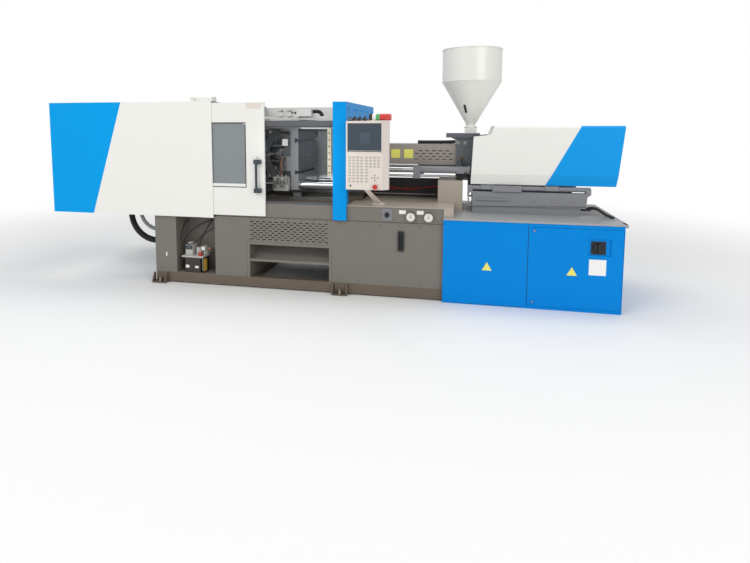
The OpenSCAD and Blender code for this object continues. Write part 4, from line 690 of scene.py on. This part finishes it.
# %% Tie bar ends and the cooling water manifold
cap = [rod("x", 472, bar, axis_z + bar, 10, 84, "machined")]
for a in (0.8, 2.4, 3.9, 5.5):
    cap += bolt("x", 1, 414, bar + 60 * math.cos(a), axis_z + bar + 60 * math.sin(a), 8)
group("tie_bar_caps", "machine_bed",
      copies(cap, [(0, -2 * bar, 0), (0, 0, -2 * bar), (0, -2 * bar, -2 * bar)]), 0.6)
parts = [slab(92, 128, -392, -364, 1010, 1470, "cream_paint")]
parts += copies([slab(128, 300, -372, -350, 1010, 1040, "cream_paint")], [(0, 0, 430)])
valve = [rod("y", 110, -392, 1050, -18, 16, "brass", sides=6),
         rod("y", 110, -410, 1050, -12, 12, "zinc_screw", sides=16)]
parts += copies(valve, [(0, 0, 60 * k) for k in range(1, 7)])
group("water_manifold", "machine_bed", parts, 0.8)

# %% Wires over the purge tray
parts = [slab(420, 1060, 50, 60, 812, 822, "guard_steel")]
for k in range(3):
    parts.append(lead([(430 + 8 * k, 40, 792), (470, 44, 850 + 14 * k), (600, 40, 905 - 26 * k),
                       (800, 42, 838 + 22 * k), (1000, 46, 905 - 14 * k), (1086, 50, 900)], 4, "red_rubber"))
group("purge_wires", "machine_bed", parts)

# %% Valve block with solenoids, fittings and hoses
port_y = -376
parts = [slab(-330, -210, 352, 392, 880, 960, "cast_grey"),
         slab(-430, -285, -400, -352, 868, 1000, "pump_grey")]
coil = [stepped(slab(-424, -394, -426, -400, 900, 962, "machined"), FORWARD, 3, 3),
        rod("y", -409, -426, 916, -12, 18, "brass", sides=6)]
parts += copies(coil, [(36, 0, 34), (72, 0, 0), (108, 0, 34)])
side_fitting = rod("x", -430, port_y, 892, -22, 20, "zinc_screw", sides=6)
parts += copies([side_fitting], [(0, 0, 30), (0, 0, 60)])
top_fitting = rod("z", -398, port_y, 1000, 16, 22, "zinc_screw", sides=6)
parts += copies([top_fitting], [(40, 0, 0), (80, 0, 0)])
for k in range(3):
    z = 892 + 30 * k
    parts.append(lead([(-452, port_y, z), (-490, -378, z), (-540, -390 - 6 * k, 900 + 18 * k),
                       (-640, -404 - 6 * k, 900 + 12 * k), (-860, -410, 880 + 14 * k)], 16, "black_rubber"))
    x = -398 + 40 * k
    parts.append(lead([(x, port_y, 1014), (x, -380, 1050), (-392 + 30 * k, -392, 1100),
                       (-380 + 24 * k, -384, 1150), (-372 + 22 * k, -356, 1180)],
                      10, "copper" if k == 1 else "black_rubber"))
parts += [slab(-385, -275, -352, -349, 1050, 1190, "machined"),
          slab(-352, -300, -366, -349, 1290, 1352, "white_plate")]
group("valve_block", "moving_platen", parts, 0.8)

# %% [markdown]
# ## Guards and doors
# The portal is bolted in its own lightened blue, which carries painted light. Each window sits in a rubber
# gasket, and the bracket on the roof is an open frame of angle sheet.

# %% Portal bolts, the roof bracket and the clamp cover's screws
# The portal's bolts share its lightened blue, with the same painted light
parts = copies(bolt("y", -1, 275, -700, 700, 8, "portal_blue_painted_light"), [(0, 0, 950)])
parts += copies(bolt("x", 1, 334, -620, 1620, 9, "portal_blue_painted_light"), [(0, k, 0) for k in (320, 620, 920, 1240)])
parts += [slab(-1110, -895, -698, -610, 1695, 1700, "ivory_paint"),
          slab(-1110, -895, -616, -610, 1700, 1735, "ivory_paint")]
parts += copies([slab(-1110, -1104, -698, -610, 1700, 1735, "ivory_paint")], [(209, 0, 0)])
group("guard_bolts", "machine_bed", parts, 0.5)
screw = stepped(rod("y", -2560, -700, 662, -1.6, 15, "clamp_paint"), FORWARD, 2, -0.6)
spots = [(180 * k, 0, z) for k in range(10) for z in (0, 1012) if k or z]
group("cover_screws", "machine_bed", copies([screw], spots))

# %% Gaskets and small plates of the doors
door = 694
gasket = copies([slab(-1304, -582, -door - 1.2, -door + 0.2, 924, 931, "black_rubber")], [(0, 0, 575)])
gasket += copies([slab(-1307, -1300, -door - 1.2, -door + 0.2, 926, 1504, "black_rubber")], [(721, 0, 0)])
gasket += [slab(-572, -429, -door - 0.8, -door, 1626, 1676, "panel_paint"),
           slab(-1296, -588, -door + 0.2, -door + 12, 930, 958, "ivory_paint")]
gasket += copies([rod("y", -473, -door, 880, -1.5, 12, "zinc_screw")], [(0, 0, 312)])
group("front_door_trim", "front_door", gasket)
gasket = copies([slab(-680, 42, door - 0.2, door + 1.2, 924, 931, "black_rubber")], [(0, 0, 575)])
gasket += copies([slab(-683, -676, door - 0.2, door + 1.2, 926, 1504, "black_rubber")], [(717, 0, 0)])
group("rear_door_trim", "rear_door", gasket)

# %% Sensor rail, its corrugated conduit and switches
conduit_d, conduit_wire, conduit_bend = 34, 4.5, 48
ring = hoop("x", -162, 40, 1619, conduit_d, conduit_wire, "black_rubber", steps=24, around=6)
parts = copies([ring], [(7 * k, 0, 0) for k in range(1, 6)])
for k in range(9):
    a = math.radians(85 - 10 * k)
    parts.append(rib(-120 + conduit_bend * math.cos(a), 40, 1571 + conduit_bend * math.sin(a),
                     math.pi / 2 - a, conduit_d, conduit_wire, "black_rubber"))
parts += [slab(-905, -420, 22, 58, 1571, 1573.5, "brass"), rod("x", -315, 20, 1606, -20, 30, "black_plastic"),
          rod("x", -335, 20, 1606, -14, 22, "black_plastic"),
          lead([(-348, 20, 1606), (-380, 22, 1606), (-400, 30, 1612), (-428, 35, 1613)], 9, "black_rubber")]
switch = [slab(-520, -474, 2, 68, 1614, 1622, "zinc_screw"), rod("z", -490, 35, 1613, 22, 20, "zinc_screw")]
parts += copies(switch, [(90, 0, 0)])
group("sensor_leads", "machine_bed", parts)

# %% [markdown]
# ## Injection unit
# Yellow plates on the barrel guard, a corrugated conduit above it, bolts on the throat block, and a
# spun rim and seams on the hopper, which also has a narrow sight glass.

# %% Plates and screws of the barrel guard
parts = []
for side in (-1, 1):
    y = side * 125
    parts += copies([slab(644, 728, y, y + side * 1.2, 1176, 1258, "yellow_plate")], [(121, 0, 0)])
    screw = rod("y", 540, y, 1130, side * 2, 12, "zinc_screw")
    parts += copies([screw], [(x, 0, z) for x in (0, 320, 680) for z in (0, 166) if x or z])
group("guard_plates", "carriage", parts)
parts = [lead([(887, -60, 1325), (950, -60, 1325), (1030, -60, 1326), (1120, -60, 1326), (1236, -60, 1330)],
              30, "black_rubber", 10)]
parts += copies([rod("x", 887, -60, 1325.4, 5, 34, "black_rubber", sides=20)],
                [(11 * k, 0, 0) for k in range(1, 31)])
group("barrel_conduit", "carriage", parts)

# %% Throat block: bolts, water fittings and hoses, guide rod ends
rod_y, rod_z = 235, 1080
parts = []
for side in (-1, 1):
    y = side * 150
    parts += copies(bolt("y", side, 1262, y, 1068, 14),
                    [(x, 0, z) for x in (0, 58, 186) for z in (0, 252) if x or z])
    parts += [rod("y", 1290, y, 1180, side * 14, 26, "brass"),
              rod("y", 1290, y + side * 14, 1180, side * 10, 20, "black_rubber"),
              lead([(1290, y + side * 20, 1180), (1290, y + side * 45, 1180), (1300, y + side * 60, 1130),
                    (1340, y + side * 62, 1040), (1372, y + side * 50, 1012)], 14, "black_rubber")]
    parts += copies(bolt("x", -1, 866, side * rod_y, 1012, 10), [(0, 0, 94)])
    parts += [hoop("x", 890, side * rod_y, rod_z, 66, 8, "zinc_screw"),
              rod("x", 1340, side * rod_y, rod_z, 26, 74, "frame_grey")]
for k in range(3):
    y = -252 - 6 * k
    parts.append(lead([(1256 + 12 * k, -238, 1048), (1262 + 9 * k, y + 6, 1020), (1298, y, 1001),
                       (1338, y - 2, 999), (1374, y, 1004), (1404, y + 2, 1003)], 13, "black_rubber"))
group("throat_fittings", "carriage", parts, 0.6)

# %% Hopper: rolled rim, two seams, flange bolts and a sight glass that leans with the cone
axis_x = 1366
shoulder, neck, rim_z, lid_z = 1875, 1487, 2165, 2180
body_r, neck_r = 265.5, 40
slope = (body_r - neck_r) / (shoulder - neck)
parts = [hoop("z", axis_x, 0, z, d, t, "hopper_paint", steps=72)
         for z, d, t in ((shoulder, 532, 5), (rim_z, 534, 9), (neck + 2, 84, 8))]
flange_bolt = rod("z", axis_x - 44, -44, 1457, 8, 14, "zinc_screw", sides=6)
parts += copies([flange_bolt], [(88, 0, 0), (0, 88, 0), (88, 88, 0)])
glass_z = 1632
around, reach = math.radians(-114), neck_r + (glass_z - neck) * slope
for width, tall, out, look in ((34, 96, 2, "hopper_paint"), (22, 82, 4, "dark_sheet")):
    strip = slab(-width / 2, width / 2, -out - MID, 3 - MID, -tall / 2, tall / 2, look)
    strip.location = at(axis_x + reach * math.cos(around), reach * math.sin(around), glass_z)
    strip.rotation_euler = (math.atan(slope), 0, around + math.pi / 2)
    parts.append(strip)
group("hopper_trim", "carriage", parts, 0.5)
knob = [rod("z", axis_x, 0, lid_z, 10, 14, "zinc_screw"),
        rod("z", axis_x, 0, lid_z + 10, 8, 34, "zinc_screw")]
group("lid_knob", "hopper_lid", knob, 1)

# %% Screws of the unit cover, carriage bolts and end stops
parts = []
for side in (-1, 1):
    screw = stepped(rod("y", 1420, side * 350, 1090, side * 1.6, 15, "unit_paint"), AXIS["y"] * side, 2, -0.6)
    parts += copies([screw], [(280, 0, 0), (760, 0, 0), (1060, 0, 0)])
group("unit_cover_screws", "carriage", parts)
parts = []
for side in (-1, 1):
    parts += copies(bolt("z", 1, 1500, side * 270, 1000, 12), [(k, 0, 0) for k in (200, 400, 600, 780)])
    parts += copies([slab(1462, 1572, side * 345, side * 347, 925, 960, "machined")], [(528, 0, 0)])
group("carriage_bolts", "carriage", parts, 0.6)
parts = copies(bolt("y", -1, 1740, -348, 838, 10), [(160, 0, 0), (320, 0, 0), (480, 0, 0)])
parts += [slab(2290, 2364, -332, -290, 757, 777, "black_plastic"),
          slab(1440, 1480, -316, -290, 715, 742, "black_plastic")]
group("rail_bolts", "machine_bed", parts, 0.5)

# %% Leads on the cabinet's deck
parts = [lead([(2330, -290, 768), (2380, -300, 790), (2430, -330, 770), (2470, -380, 735), (2520, -430, 722)],
              22, "black_rubber"),
         lead([(2340, -280, 765), (2400, -260, 775), (2460, -270, 750), (2500, -290, 724)],
              16, "black_rubber"),
         rod("y", 2548, -700, 706, 90, 26, "black_rubber")]
group("deck_leads", "machine_bed", parts)

# %% [markdown]
# ## Floor, light and camera
# The photograph is lit from the front left by a broad light, with a weaker one on the right, and the floor
# melts into the white behind it. The world is brighter to the camera than to the machine, so the
# background turns white while the enamel keeps its shade. The camera was solved from the long edges of
# the bed and the verticals: its place, its lens and how far the picture is shifted.

# %% Floor and world
white_from, white_to = 3.0, 7.5
alone()
# Half a millimetre below the feet, so that no two faces lie in one plane
bpy.ops.mesh.primitive_plane_add(size=60, location=(0, 0, -0.0005))
floor = bpy.context.object
floor.name = "floor"
floor.data.materials.append(finish_of("pale studio floor", "#F4F4F3", 0.7, bump=0.0, tone=0.0))
tree = floor.data.materials[0].node_tree
where = next(n for n in tree.nodes if n.type == "TEX_COORD")
far = add_node(tree, "ShaderNodeVectorMath", {"operation": "LENGTH"}, [(0, where.outputs["Object"])])
fade = add_node(tree, "ShaderNodeMapRange",
                {"interpolation_type": "SMOOTHSTEP", "From Min": white_from, "From Max": white_to,
                 "To Min": 1.0, "To Max": 0.0}, [("Value", far.outputs["Value"])])
tree.links.new(fade.outputs["Result"], tree.nodes[SHADER].inputs["Alpha"])
world = bpy.context.scene.world or bpy.data.worlds.new("soft studio")
bpy.context.scene.world = world
world.use_nodes = True
sky = world.node_tree.nodes["Background"]
sky.inputs["Color"].default_value = (1.0, 1.0, 1.0, 1.0)
seen = world.node_tree.nodes.new("ShaderNodeLightPath")
# Full white to the camera, 0.6 of it to the machine
level = add_node(world.node_tree, "ShaderNodeMapRange", {"To Min": 0.6, "To Max": 1.0},
                 [("Value", seen.outputs["Is Camera Ray"])])
world.node_tree.links.new(level.outputs["Result"], sky.inputs["Strength"])
print("floor and world set")


# %% Three broad lights and a beam
def lamp(kind, name, place, aim, power, settings):
    """A light of this many watts at a place in metres, turned to its aim."""
    data = bpy.data.lights.new(name, kind)
    for key, value in settings.items():
        setattr(data, key, value)
    data.energy = power
    o = bpy.data.objects.new(name, data)
    bpy.context.scene.collection.objects.link(o)
    o.location = place
    o.rotation_euler = (Vector(aim) - Vector(place)).to_track_quat("-Z", "Y").to_euler()


broad = {"shape": "RECTANGLE", "size": 4, "size_y": 3}
lamp("AREA", "key light", (-3.5, -6.5, 5.5), (0, -0.5, 0.9), 190, broad)
lamp("AREA", "fill light", (5.5, -6.0, 3.5), (0.8, -0.3, 0.9), 125, broad)
lamp("AREA", "top light", (0.5, 1.0, 6.5), (0.2, 0, 1.0), 125, {"shape": "RECTANGLE", "size": 6, "size_y": 3})
# A narrow beam through the doorway lets the platens and the valve block show
lamp("SPOT", "doorway beam", at(350, -3300, 1650), at(-120, 0, 1110), 110,
     {"spot_size": math.radians(17), "spot_blend": 0.7, "shadow_soft_size": 0.25})
print("four lights set")

# %% Camera
cam_data = bpy.data.cameras.new("camera")
cam = bpy.data.objects.new("camera", cam_data)
bpy.context.scene.collection.objects.link(cam)
bpy.context.scene.camera = cam
yaw, pitch = math.radians(13.0), math.radians(5.7)
ahead = Vector((-math.sin(yaw) * math.cos(pitch), math.cos(yaw) * math.cos(pitch), -math.sin(pitch)))
cam.location = at(1320, -5200, 1465)
cam.rotation_euler = ahead.to_track_quat("-Z", "Y").to_euler()
cam_data.sensor_width = 36.0
cam_data.lens = 25.97
cam_data.shift_x = 0.0467
cam_data.shift_y = -0.134
cam_data.clip_end = 100.0
bpy.context.scene.view_settings.view_transform = "Standard"
print("camera at", tuple(round(v, 3) for v in cam.location))
